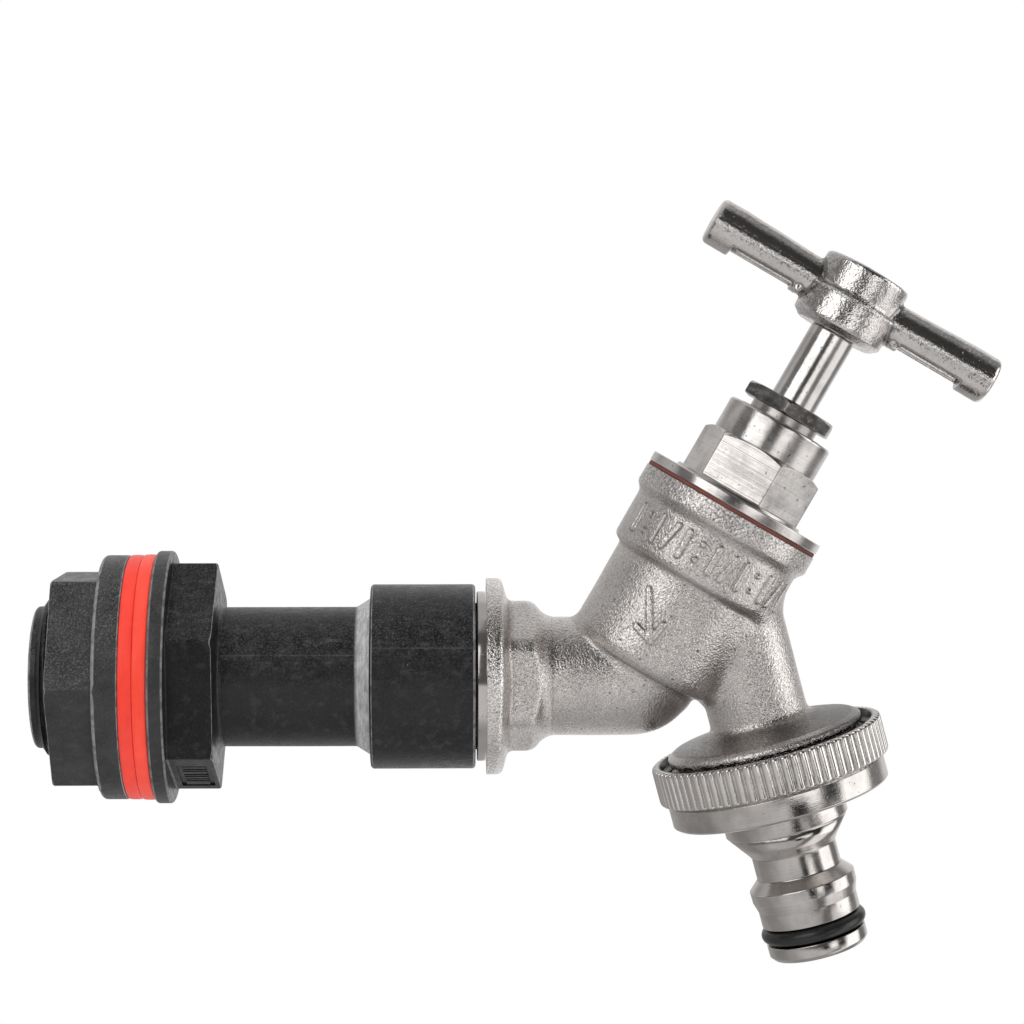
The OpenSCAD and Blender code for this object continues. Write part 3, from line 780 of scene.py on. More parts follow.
def handle_metal(name, tint=(0.66, 0.634, 0.618)):
    """The cast handle: hammered grain on the hub, smooth bright bars, and along the
    middle the filed seam of the mould, its raised dashes painted bright as glints with a painted shade line under it,
    and small pits."""
    net, use = material(name, 1.0)
    p = net.mm()
    z, rr = net.along(p, BARREL)
    wear_and_shade = net.wear_and_shade()
    hub = net.fade(rr, 9.8, 8.2)
    fine = net.noise(p, 2.7, 1.5, 0.55)
    grit = net.noise(p, 4.2, 1.0, 0.5)
    mid = net.noise(p, 1.0, 2.5, 0.6)
    broad = net.noise(p, 0.2, 3.0, 0.5)
    pits = net.fade(net.noise(p, 1.8, 1.0, 0.5), 0.275, 0.20)
    dash = net.noise(p, 2.1, 2.0, 0.62)
    off = net.math("SUBTRACT", z, 72.15)
    # the filed seam: a raised dashed ridge along the bar's middle, its dashes painted bright as glints
    seam_glint = net.math("MULTIPLY", net.fade(net.math("ABSOLUTE", off), 0.52, 0.16), net.fade(dash, 0.40, 0.52))
    # painted shade: dark dashes just under the seam, as if its ridge shades the bar there
    under = net.math("MULTIPLY", net.math("MULTIPLY", net.fade(off, -1.25, -0.65), net.fade(off, -0.15, -0.4)), net.fade(dash, 0.47, 0.37))
    edge = net.fade(wear_and_shade, 0.25, 0.95)
    nook = net.fade(wear_and_shade, -0.2, -0.8)
    col = net.mix(net.line(broad, 0.32, 0.68), tuple(c * 0.96 for c in tint) + (1,), tuple(c * 1.14 for c in tint) + (1,))
    col = net.mix(net.math("MULTIPLY", net.fade(fine, 0.455, 0.385), net.line(hub, 0, 1, 0.10, 0.40)), col, tuple(c * 0.22 for c in tint) + (1,))
    col = net.mix(net.math("MULTIPLY", net.fade(grit, 0.56, 0.64), net.line(hub, 0, 1, 0.08, 0.55)), col, (1.0, 0.98, 0.965, 1))
    col = net.mix(net.math("MULTIPLY", under, 0.62), col, (0.07, 0.066, 0.063, 1))
    col = net.mix(net.math("MULTIPLY", seam_glint, 0.80), col, (1.0, 0.98, 0.965, 1))
    # hollows darkened: partly oxide in them, partly painted shade where shade falls
    col = net.mix(net.math("MULTIPLY", nook, 0.72), col, tuple(c * 0.22 for c in tint) + (1,))
    col = net.mix(net.math("MULTIPLY", pits, 0.55), col, tuple(c * 0.25 for c in tint) + (1,))
    col = net.mix(net.math("MULTIPLY", edge, 0.35), col, (0.84, 0.825, 0.81, 1))
    r = net.math("ADD", net.line(mid, 0.3, 0.7, 0.13, 0.21), net.math("MULTIPLY", hub, -0.03))
    h = net.bump(net.math("MULTIPLY", fine, net.line(hub, 0, 1, 0.55, 1.0)), 0.062)
    h = net.bump(net.math("MULTIPLY", grit, net.line(hub, 0, 1, 0.2, 1.0)), 0.022, h)
    h = net.bump(net.math("MULTIPLY", dash, net.fade(net.math("ABSOLUTE", off), 0.9, 0.1)), 0.30, h)
    h = net.bump(net.math("MULTIPLY", mid, net.line(hub, 0, 1, 0.7, 1.0)), 0.10, h)
    h = net.bump(pits, -0.08, h)
    return use(Base_Color=col, Roughness=r, Normal=h)


M_PLASTIC = moulded_plastic("black_plastic", ring=(35.45, 37.75))
M_NUT = moulded_plastic("black_plastic_nut", (0.023, 0.023, 0.0235, 1), 2.0)
M_RED = rubber("red_rubber", (0.78, 0.033, 0.017, 1), (0.86, 0.045, 0.023, 1), rough=(0.36, 0.5), sheen=0.15)
M_RED_B = rubber("red_rubber_flange_side", (0.85, 0.048, 0.023, 1), (0.92, 0.062, 0.030, 1), rough=(0.34, 0.48), sheen=0.18)
M_BLACK_RUBBER = rubber("black_rubber", (0.010, 0.010, 0.010, 1), (0.018, 0.018, 0.018, 1), 5.0, (0.22, 0.36), 0.008)
M_FIBRE = rubber("red_fibre", (0.115, 0.037, 0.029, 1), (0.17, 0.056, 0.043, 1), 6.0, (0.6, 0.8), 0.03)
M_PACKING = rubber("graphite_packing", (0.05, 0.05, 0.048, 1), (0.11, 0.105, 0.10, 1), 4.0, (0.5, 0.7), 0.05)
M_CAST = cast_nickel("cast_nickel", (0.70, 0.663, 0.641), dull_flange=True)
M_HANDLE = handle_metal("cast_nickel_handle")
M_BONNET = turned_metal("turned_nickel_bonnet", BARREL, marks=2.3, rough=(0.07, 0.13), lines=4.6, flat=0.0, nicks=0.8)
M_SPINDLE = turned_metal("turned_nickel_spindle", BARREL, (0.66, 0.636, 0.62), 0.5, (0.06, 0.12), 0.12)
M_CONNECTOR = turned_metal("turned_nickel_connector", SPOUT, (0.60, 0.572, 0.552), 0.7, (0.075, 0.13), 0.14)
M_DARK = turned_metal("dark_nut", BARREL, (0.27, 0.258, 0.248), 1.0, (0.15, 0.26), 0.45, mottle=0.5)
M_BRASS = turned_metal("bare_brass", BARREL, (0.62, 0.43, 0.20), 1.0, (0.2, 0.34), 0.2)

# ------------------------------------------------------------------ light
# A studio seen by direction: two boxes in front, one at the right, a pale sweep
# below and behind, dark walls between. Azimuth 0 is towards the front, + is right.
world = bpy.data.worlds.new("studio")
scene.world = world
world.use_nodes = True
net = Net(world.node_tree)
xyz = net.node("ShaderNodeSeparateXYZ", {0: net.node("ShaderNodeTexCoord").outputs["Generated"]}).outputs
az = net.math("MULTIPLY", net.math("ARCTAN2", xyz[0], net.math("MULTIPLY", xyz[1], -1.0)), 57.29578)
el = net.math("MULTIPLY", net.math("ARCSINE", xyz[2]), 57.29578)


BOX = 1.7


def window(a0, a1, e0, e1, level, fa=2.5, fe=4.0):
    v = net.math("MULTIPLY", net.fade(az, a0 - fa, a0 + fa), net.fade(az, a1 + fa, a1 - fa))
    w = net.math("MULTIPLY", net.fade(el, e0 - fe, e0 + fe), net.fade(el, e1 + fe, e1 - fe))
    return net.math("MULTIPLY", net.math("MULTIPLY", v, w), level)


def track(x, points):
    """A level that moves smoothly from point to point of [(x, level)]."""
    v = points[0][1]
    for (xa, va), (xb, vb) in zip(points, points[1:]):
        if abs(va - vb) > 1e-6:
            v = net.math("ADD", v, net.fade(x, xa, xb, 0.0, vb - va))
    return v


walls = track(az, [(-180, 0.68), (-154, 0.60), (-143, 0.42), (-135, 0.42), (-114, 0.52), (-100, 0.49), (-91, 0.22), (-66, 0.20), (-60, 0.13),
                   (-14, 0.11), (6, 0.10), (14, 0.045), (58, 0.04), (78, 0.16), (106, 0.22), (126, 0.26), (144, 0.80), (180, 0.85)])
roof = track(az, [(-180, 0.52), (-104, 0.50), (-92, 0.46), (-40, 0.40), (-12, 0.26), (6, 0.17), (16, 0.10), (66, 0.08), (86, 0.42), (122, 0.50), (180, 0.52)])
near = track(az, [(-180, 0.42), (-142, 0.40), (-128, 0.33), (-96, 0.33), (-68, 0.44), (-40, 0.60), (-22, 0.66), (4, 0.66), (26, 0.55),
                  (31, 0.24), (45, 0.24), (56, 1.08), (92, 1.08), (101, 0.26), (127, 0.28), (142, 0.80), (180, 0.85)])
steep = net.fade(el, -46, -72)
near = net.math("ADD", net.math("MULTIPLY", near, net.math("SUBTRACT", 1.0, steep)), net.math("MULTIPLY", steep, 0.38))
tall = net.math("MULTIPLY", net.math("MULTIPLY", net.fade(az, -46, -26), net.fade(az, 30, 14)), 16.0)
up = net.fade(net.math("SUBTRACT", el, tall), 47, 60)
down = net.fade(el, -2.5, -8)
total = net.math("ADD", net.math("MULTIPLY", walls, net.math("SUBTRACT", 1.0, net.math("ADD", up, down))),
                 net.math("ADD", net.math("MULTIPLY", roof, up), net.math("MULTIPLY", near, down)))
slant = net.math("SUBTRACT", el, net.math("MULTIPLY", az, 0.30))
panel_a = net.math("MULTIPLY", window(4, 26, -14, 30, 1.35, 2.2, 2.5), net.fade(slant, 5.5, 1.5))
panel_b = net.math("MULTIPLY", window(22, 38, -7, 16, 1.45, 2.5, 3), net.fade(slant, 5.5, 1.5))
for part in (window(-60, -15, 7, 46, BOX, 3, 6), panel_a, panel_b, window(62, 104, -16, 26, BOX, 3, 6)):
    total = net.math("MAXIMUM", total, part)
light = net.node("ShaderNodeBackground", {"Color": (1.0, 0.992, 0.985, 1), "Strength": total}).outputs[0]
white = net.node("ShaderNodeBackground", {"Color": (1, 1, 1, 1), "Strength": 1.0}).outputs[0]
seen = net.node("ShaderNodeLightPath").outputs["Is Camera Ray"]
both = net.node("ShaderNodeMixShader", {0: seen, 1: light, 2: white}).outputs[0]
net.node("ShaderNodeOutputWorld", {"Surface": both})

# a broad front light that matt surfaces take and metal does not mirror
fill_data = bpy.data.lights.new("fill", "AREA")
fill_data.shape = "DISK"
fill_data.size = 0.9
fill_data.energy = 4.1
fill = link(bpy.data.objects.new("fill", fill_data))
fill.location = (0.05, -0.9, 0.55)
fill.rotation_euler = (Vector((0.05, 0, 0.02)) - Vector(fill.location)).to_track_quat("-Z", "Y").to_euler()
fill.visible_glossy = False
fill.visible_camera = False

# and one from above, for the upper sides of the matt pieces
top_data = bpy.data.lights.new("top", "AREA")
top_data.shape = "DISK"
top_data.size = 0.7
top_data.energy = 5.0
top_light = link(bpy.data.objects.new("top", top_data))
top_light.location = (0.0, -0.18, 0.95)
top_light.rotation_euler = (Vector((0.02, 0, 0)) - Vector(top_light.location)).to_track_quat("-Z", "Y").to_euler()
top_light.visible_glossy = False
top_light.visible_camera = False

# and a weak one from below, as from the pale floor
low_data = bpy.data.lights.new("low", "AREA")
low_data.shape = "DISK"
low_data.size = 0.8
low_data.energy = 3.0
low_light = link(bpy.data.objects.new("low", low_data))
low_light.location = (0.03, -0.25, -0.7)
low_light.rotation_euler = (Vector((0.03, 0, 0)) - Vector(low_light.location)).to_track_quat("-Z", "Y").to_euler()
low_light.visible_glossy = False
low_light.visible_camera = False

# a dark card low in front, that the turned union mirrors as a dark stripe
card = mesh_object("card", [(116, -150, -30), (166, -150, -22), (176, -150, -74), (127, -150, -74)], [(0, 1, 2, 3)])
m = bpy.data.materials.new("card")
m.use_nodes = True
net = Net(m.node_tree)
net.node("ShaderNodeOutputMaterial", {"Surface": net.node("ShaderNodeEmission", {"Color": (1, 1, 1, 1), "Strength": 0.03}).outputs[0]})
card.data.materials.append(m)
card.visible_camera = card.visible_diffuse = card.visible_shadow = card.visible_transmission = False

# ------------------------------------------------------------------ floor
floor = mesh_object("floor", [(-2400, -2400, -52), (2400, -2400, -52), (2400, 2400, -52), (-2400, 2400, -52)],
                    [(0, 1, 2, 3)])
m = bpy.data.materials.new("floor")
m.use_nodes = True
net = Net(m.node_tree)
glow = net.node("ShaderNodeEmission", {"Color": (1, 1, 1, 1), "Strength": 1.0}).outputs[0]
clear = net.node("ShaderNodeBsdfTransparent").outputs[0]
under = net.node("ShaderNodeNewGeometry").outputs["Backfacing"]
net.node("ShaderNodeOutputMaterial", {"Surface": net.node("ShaderNodeMixShader", {0: under, 1: glow, 2: clear}).outputs[0]})
floor.data.materials.append(m)
floor.visible_glossy = floor.visible_diffuse = floor.visible_shadow = floor.visible_transmission = False


# ------------------------------------------------------------------ turned pieces
def dress(obj, mat, body, slot, *nodes):
    obj.data.materials.clear()
    obj.data.materials.append(mat)
    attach(obj, body)
    if nodes:
        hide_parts(*nodes)
    return obj


def rad(*deg):
    return [math.radians(d) for d in deg]


def span(r, z0, z1, per, keep_ends=True):
    n = max(1, int(round(abs(z1 - z0) / per)))
    return [(r, z0 + (z1 - z0) * k / n) for k in range(0 if keep_ends else 1, n + 1 if keep_ends else n)]


def screwed(th, z, pitch, z0, z1, crest=0.20, run=1.0):
    """0 on a crest, 1 in a root, for a right-hand thread between z0 and z1."""
    ph = (z / pitch - th / (2 * math.pi)) % 1.0
    tri = np.abs(2 * ph - 1)
    w = np.clip((1 - crest - tri) / (1 - 2 * crest), 0, 1)
    f = np.clip((z - z0) / run, 0, 1) * np.clip((z1 - z) / run, 0, 1)
    return w * f


# the moulded tail
TAIL_TURN = math.radians(90 - 23.8)
hexr, hex_extra = hexagon(19.4, TAIL_TURN, 0.9)
STEM, STEM_P = (-15.6, 2.1), 1.814


def tail_profile(th):
    h = hexr(th)
    crop = 19.45
    zc = 12.5 - max(0.0, min(0.35, (h - (crop - 0.63)) / 1.8))
    return ([(9.2, -17.8, 0.25, 2), (11.8, -17.8, 0.55, 3), (11.8, -16.6, 0.25, 2), (13.0, -15.75)]
            + span(13.15, STEM[0], STEM[1], 0.155)
            + [(13.15, 2.3, 0.1, 1), (21.0, 2.3, 0.55, 4), (21.0, 5.0, 0.45, 4), (h, 5.0, 0.4, 3),
               (h, zc, 0.30, 3), (h - 0.25, 12.5), (13.1, 12.5, 0.3, 3), (11.6, 12.95, 0.8, 4),
               (11.6, 24.0), (11.6, 35.4, 1.0, 4), (13.1, 37.75, 0.30, 3), (15.0, 37.75), (15.35, 38.1, 0.3, 3),
               (15.35, 46.0), (15.35, 55.1, 0.55, 4), (13.95, 55.1, 0.12, 1), (13.22, 54.4), (13.22, 40.0, 0.2, 2),
               (9.2, 40.0, 0.3, 2)])


def tail_shape(th, pts):
    r, z = pts[:, 0], pts[:, 1]
    stem = (z > STEM[0] - 0.02) & (z < STEM[1] + 0.02) & (r > 13)
    r[stem] -= 1.10 * screwed(th, z[stem], STEM_P, STEM[0] - 0.5, STEM[1] + 0.6)
    part = 0.085 * math.exp(-((math.degrees(th) - 250) / 0.42) ** 2)
    part += 0.085 * math.exp(-((math.degrees(th) - 70) / 0.42) ** 2)
    skin = (z > 13.6) & (r > 11)
    r[skin] += part
    wave = 0.05 * math.sin(2 * th + 0.7) + 0.03 * math.sin(3 * th + 2.0)
    r[skin] += wave * 0.8
    return pts


part_line = [math.radians(c + d) for c in (70, 250) for d in (-1.0, -0.45, 0, 0.45, 1.0)]
tail = lathe("tail", tail_profile, PIPE, ring(168, hex_extra + part_line), shape=tail_shape, even=False)


def blocks(name, turn, axis, items):
    """Boxes on a face of a prism round the axis: (out from, to, across from, to, along from, to)."""
    n = np.array((math.cos(turn), math.sin(turn), 0.0))
    t = np.array((-math.sin(turn), math.cos(turn), 0.0))
    verts, faces = [], []
    for n0, n1, t0, t1, z0, z1 in items:
        b = len(verts)
        for z in (z0, z1):
            for i, j in ((n0, t0), (n1, t0), (n1, t1), (n0, t1)):
                verts.append(tuple(n * i + t * j + (0, 0, z)))
        faces += [tuple(b + k for k in f) for f in ((3, 2, 1, 0), (4, 5, 6, 7), (0, 1, 5, 4), (1, 2, 6, 5), (2, 3, 7, 6), (3, 0, 4, 7))]
    R, o = np_frame(axis)
    return mesh_object(name, np.array(verts) @ R.T + o, faces)


# a sunk panel with plain raised bars, on the lower front face of the hexagon
FLAT = 19.4 * math.cos(math.pi / 6)
tail.modifiers.clear()
tail = boolean(tail, blocks("p1", math.radians(-23.8), PIPE, [(FLAT - 0.32, FLAT + 1, -5.0, 7.3, 6.2, 11.7)]), "DIFFERENCE")
tail = boolean(tail, blocks("p2", math.radians(-23.8), PIPE,
                            [(FLAT - 0.8, FLAT - 0.04, -4.3 + a, -4.3 + b, 7.0, 10.9) for a, b in
                             ((0.0, 0.9), (1.6, 2.1), (2.8, 4.2), (4.9, 5.4), (6.1, 7.0), (7.7, 8.2), (8.9, 10.8))]), "UNION")
tail.data.set_sharp_from_angle(angle=math.radians(55))
weighted(tail)
dress(tail, M_PLASTIC, "tap", "black_plastic", "tank_tail")

# the backnut
nutr, nut_extra = hexagon(19.4, math.radians(90), 0.8)


def nut_profile(th):
    h = nutr(th)
    zc = -14.2 + max(0.0, min(0.35, (h - 18.82) / 1.8))
    return ([(13.85, -2.3, 0.1, 1), (20.3, -2.3, 0.3, 3), (20.3, -6.6, 0.75, 5), (h, -6.6, 0.4, 3),
             (h, zc, 0.30, 3), (h - 0.3, -14.2), (14.5, -14.2, 0.15, 2), (13.3, -13.2)]
            + span(13.22, -13.1, -2.9, 0.16) + [(13.4, -2.7)])


def nut_shape(th, pts):
    r, z = pts[:, 0], pts[:, 1]
    bore = (r < 13.25) & (z > -13.15) & (z < -2.85)
    r[bore] += 0.85 * screwed(th, z[bore], STEM_P, -14.0, -2.0)
    return pts


nut = lathe("backnut_moulding", nut_profile, PIPE, ring(150, nut_extra), shape=nut_shape)
dress(nut, M_NUT, "backnut", "black_plastic", "backnut")


# the two wall washers
def uneven(amount, seed, lobes=(2, 3, 5, 8, 13)):
    rs = np.random.RandomState(seed)
    ph = rs.uniform(0, 6.28, len(lobes))
    return lambda th: amount * sum(math.sin(k * th + p) / (i + 1) for i, (k, p) in enumerate(zip(lobes, ph)))


for name, node, body, z0, z1, r0, seed in (("washer_nut_side", "inner_washer", "clamp_washer", -2.3, 0.0, 20.36, 3),
                                           ("washer_flange_side", "outer_washer", "tap", 0.0, 2.3, 20.46, 4)):
    wob = uneven(0.035, seed)

    def bulge(th, pts, wob=wob, z0=z0, z1=z1):
        out = pts[:, 0] > 17
        pts[out, 0] += wob(th) - 0.03
        return pts

    mid = (z0 + z1) / 2
    w = lathe(name, [(13.5, z0 + 0.02, 0.25, 3), (r0 - 0.06, z0 + 0.02, 0.38, 4), (r0, mid - 0.35, 0.6, 3),
                     (r0, mid + 0.35, 0.6, 3), (r0 - 0.06, z1 - 0.02, 0.38, 4), (13.5, z1 - 0.02, 0.25, 3)],
              PIPE, ring(160), shape=bulge)
    dress(w, M_RED if body == "clamp_washer" else M_RED_B, body, "red_rubber", node)

# the fibre ring
wob = uneven(0.03, 8)
ringw = lathe("fibre_ring", [(11.1, 31.93, 0.1, 1), (15.78, 31.93, 0.12, 2), (15.78, 32.63, 0.15, 2), (11.1, 32.63, 0.1, 1)],
              BARREL, ring(128), shape=lambda th, p: p + np.where(p[:, :1] > 14, [[wob(th), 0]], 0.0))
dress(ringw, M_FIBRE, "tap", "red_fibre", "bonnet_washer")

# the bonnet
bonr, bon_extra = hexagon(11.03, math.radians(12.9 - 90), 0.35)


def bonnet_profile(th):
    h = bonr(th)
    zc = min(43.06, 42.2 + (11.08 - h) / 1.8)
    return ([(5.56, 23.6, 0.3, 2), (10.2, 23.6), (10.97, 24.4), (10.97, 31.2), (10.6, 31.5), (10.6, 32.63),
             (15.88, 32.63, 0.16, 3), (15.88, 34.3, 0.22, 3), (11.75, 34.3, 0.2, 2), (11.5, 34.85, 0.2, 2),
             (h, 34.95, 0.12, 2), (h, 39.0), (h, zc, 0.07, 2), (9.33, 43.12, 0.04, 1), (9.4, 43.25),
             (9.4, 48.7, 0.55, 4), (6.05, 48.7, 0.25, 2), (6.05, 40.8), (4.3, 40.8), (4.3, 38.6), (5.56, 38.6)])


bonnet = lathe("headwork", bonnet_profile, BARREL, ring(144, bon_extra))
dress(bonnet, M_BONNET, "tap", "turned_nickel", "bonnet")

# the gland nut
glr, gl_extra = hexagon(8.85, math.radians(-10.1 - 90), 0.35)


def gland_profile(th):
    h = glr(th)
    zt = min(52.55, 52.0 + (8.9 - h) / 1.8)
    zb = max(50.2, 50.45 - (8.9 - h) / 1.8)
    return [(4.0, 45.6, 0.1, 1), (5.5, 45.6), (6.0, 46.1), (6.0, 50.2, 0.15, 2), (h - 0.4, 50.2),
            (h, zb + 0.03, 0.15, 2), (h, zt, 0.14, 2), (7.45, 52.6, 0.2, 2), (4.5, 52.6, 0.1, 1), (4.0, 52.1)]


gland = lathe("packing_nut", gland_profile, BARREL, ring(120, gl_extra))
dress(gland, M_DARK, "tap", "dark_nut", "gland_nut")


# the spindle
def spindle_profile(th):
    ph = (th + math.pi / 4) % (math.pi / 2) - math.pi / 4
    sq = min(2.5 / math.cos(ph), 3.3)
    return ([(0, 14.0), (2.6, 14.0, 0.1, 1), (4.4, 14.0, 0.3, 2), (4.6, 17.2, 0.1, 1)]
            + [(4.95, 17.5)] + span(5.5, 18.1, 29.4, 0.3) + [(4.9, 30.0), (3.95, 30.4), (3.95, 42.0), (3.95, 54.0),
               (3.95, 65.88, 0.3, 2), (sq, 65.9), (sq, 75.35, 0.3, 2), (1.75, 75.4), (0, 75.4)])


def spindle_shape(th, pts):
    r, z = pts[:, 0], pts[:, 1]
    t = (r > 5.45) & (z > 18.0) & (z < 29.5)
    r[t] -= 0.7 * screwed(th, z[t], 2.54, 17.0, 30.5)
    return pts


spindle = lathe("spindle_rod", spindle_profile, BARREL, ring(96, rad(45, 135, 225, 315)), closed=False, shape=spindle_shape)
dress(spindle, M_SPINDLE, "handle", "turned_nickel", "spindle")

# the hose connector
TEETH, CONN_P = 76, 2.309


def connector_profile():
    return ([(5.2, 71.2, 0.3, 2), (7.85, 71.2, 0.35, 3), (8.45, 70.45, 0.25, 2), (8.45, 68.5, 0.12, 2), (6.4, 68.5, 0.2, 2),
             (6.4, 65.5, 0.2, 2), (8.4, 65.5, 0.15, 2), (8.4, 62.75, 0.4, 3), (8.95, 61.0, 0.25, 3), (9.0, 59.1, 0.3, 3),
             (7.22, 57.35, 0.5, 4), (7.22, 53.5, 0.8, 4), (8.0, 52.4, 0.3, 2), (10.2, 49.5, 0.45, 3), (10.5, 49.1, 0.2, 2),
             (10.5, 45.35, 0.35, 3), (18.1, 45.35, 0.2, 2), (18.55, 44.95, 0.2, 2), (18.55, 41.45, 0.15, 2), (18.2, 41.15, 0.1, 2),
             (18.2, 40.9, 0.08, 1), (19.3, 40.9), (19.62, 40.68), (19.7, 40.4), (19.7, 39.0), (19.7, 36.4), (19.7, 35.1),
             (19.62, 34.82), (19.3, 34.6), (18.3, 34.6, 0.1, 1), (18.25, 36.0, 0.1, 1), (16.9, 36.25)]
            + span(16.7, 36.4, 43.6, 0.24) + [(16.7, 43.8, 0.15, 1), (5.2, 43.8, 0.2, 1), (5.2, 56.0)])


def tooth_angles():
    out = []
    for k in range(TEETH):
        for f in (0.0, 0.10, 0.15, 0.24, 0.50, 0.76, 0.85, 0.90):
            out.append(2 * math.pi * (k + f) / TEETH)
    return out


def connector_shape(th, pts):
    r, z = pts[:, 0], pts[:, 1]
    f = (th * TEETH / (2 * math.pi)) % 1.0
    g = min(f, 1 - f)
    groove = 0.46 * np.clip((0.185 - g) / 0.10, 0, 1) + 0.78 * max(0.0, 0.5 - g) ** 2
    k = (r > 19.2) & (z < 41) & (z > 34.5)
    r[k] -= groove
    b = (r < 16.75) & (r > 16.0) & (z > 36.3) & (z < 43.7)
    r[b] += 0.9 * screwed(th, z[b], CONN_P, 35.2, 44.6)
    return pts


connector = lathe("hose_union", connector_profile(), SPOUT, tooth_angles(), shape=connector_shape)
dress(connector, M_CONNECTOR, "connector", "turned_nickel", "hose_connector")

# the ring seal on the nose
seal = lathe("nose_seal", [(7.7 + 1.27 * math.cos(a), 67.0 + 1.27 * math.sin(a)) for a in np.linspace(0, 2 * math.pi, 29)[:-1]],
             SPOUT, ring(128))
dress(seal, M_BLACK_RUBBER, "connector", "black_rubber", "nose_o_ring")

# pieces that stay as they are built in the frame
for node, mat in (("inlet_seal", M_BLACK_RUBBER), ("gland_packing", M_PACKING), ("gland_washer", M_BRASS),
                  ("jumper", M_BRASS), ("jumper_washer", M_BLACK_RUBBER), ("jumper_nut", M_BRASS),
                  ("connector_seal", M_BLACK_RUBBER), ("handle_screw", M_SPINDLE)):
    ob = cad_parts[node]
    ob.data.materials.clear()
    ob.data.materials.append(mat)


# ------------------------------------------------------------------ the tap's casting
class Turned:
    """The field of a turned form, from a table over its half section."""

    def __init__(self, profile, axis=None, reach=5.0, cell=0.1):
        pts, _ = soften(profile, closed=False)
        a = np.array(pts)
        self.cell = cell
        self.z0 = a[:, 1].min() - reach
        nr = int((a[:, 0].max() + reach) / cell) + 2
        nz = int((a[:, 1].max() + reach - self.z0) / cell) + 2
        r, z = np.meshgrid(np.arange(nr) * cell, self.z0 + np.arange(nz) * cell, indexing="ij")
        poly = np.vstack([a, (a[::-1] * (-1, 1))[1:-1]])
        self.table = f_poly(poly, r.ravel(), z.ravel()).reshape(nr, nz)
        self.axis = np_frame(axis) if axis is not None else None

    def __call__(self, p):
        if self.axis is not None:
            p = (p - self.axis[1]) @ self.axis[0]
        return self.at(np.hypot(p[:, 0], p[:, 1]), p[:, 2])

    def at(self, r, z):
        nr, nz = self.table.shape
        u, v = r / self.cell, (z - self.z0) / self.cell
        cu, cv = np.clip(u, 0, nr - 1.001), np.clip(v, 0, nz - 1.001)
        i, j = cu.astype(int), cv.astype(int)
        fu, fv = cu - i, cv - j
        T = self.table
        d = (T[i, j] * (1 - fu) * (1 - fv) + T[i + 1, j] * fu * (1 - fv)
             + T[i, j + 1] * (1 - fu) * fv + T[i + 1, j + 1] * fu * fv)
        return d + np.hypot(u - cu, v - cv) * self.cell


FLANGE = Turned([(0, 55.9), (16.38, 55.9, 0.1, 2), (16.38, 59.42, 1.1, 6), (12.0, 60.68), (0, 60.8)], PIPE)
PIPE_F = Turned([(0, 59), (9.9, 59)] + [(9.9 * math.cos(a), 81.0 + 11.0 * math.sin(a)) for a in np.linspace(0, math.pi / 2, 27)[:-1]]
                + [(0, 92.0)], PIPE)
BARREL_F = Turned([(0, 1.9), (13.4, 1.9, 2.2, 7), (13.4, 18.45, 0.7, 4), (14.85, 19.15, 1.5, 6), (14.85, 27.55, 1.6, 6),
                   (15.95, 28.75, 0.6, 5), (15.95, 33.0), (0, 33.0)], BARREL)
ELBOW_F = Turned([(0, -1.4), (10.0, -1.4, 2.2, 6), (10.0, 4), (0, 4)], BARREL)
SPOUT_F = Turned([(0, 6), (8.3, 6), (8.3, 31.15, 1.6, 6), (11.0, 32.15, 3.0, 5), (13.6, 32.62, 3.0, 5), (15.45, 32.98, 0.12, 3), (16.6, 33.65, 0.15, 3),
                  (16.6, 34.9), (0, 34.9)], SPOUT)
BOSS_A, BOSS_RC = 11.4, 3.6
BOSS_POLY = [((BOSS_A - BOSS_RC) / math.cos(math.pi / 6) * math.cos(k * math.pi / 3),
              (BOSS_A - BOSS_RC) / math.cos(math.pi / 6) * math.sin(k * math.pi / 3)) for k in range(6)]
BARREL_RT, PIPE_RT = np_frame(BARREL), np_frame(PIPE)

# raised marks: strokes on the band as [(from, to)], each end (arc length, height), millimetres.
# Short slanted bars and dots in a plain rhythm, and a plain arrow for the flow below them.
BAND_MARKS = []
for k in range(13):
    c = -16.5 + k * 2.75
    if k % 4 == 1:
        BAND_MARKS += [((c, 22.2), (c, 22.2)), ((c, 25.0), (c, 25.0))]
    elif k % 4 == 3:
        BAND_MARKS += [((c - 0.55, 21.4), (c + 0.55, 25.8))]
    else:
        BAND_MARKS += [((c, 21.4), (c, 25.8))]
ARROW = [((-4.6, 11.0), (3.4, 11.0)), ((3.9, 11.0), (1.3, 13.2)), ((3.9, 11.0), (1.3, 8.8))]
ARROW_AT, ARROW_TILT = math.radians(252), math.radians(-58)


def strokes(u, v, items):
    d = np.full(u.shape, 9.0)
    for a, b in items:
        d = np.minimum(d, f_seg(u, v, a, b))
    return d


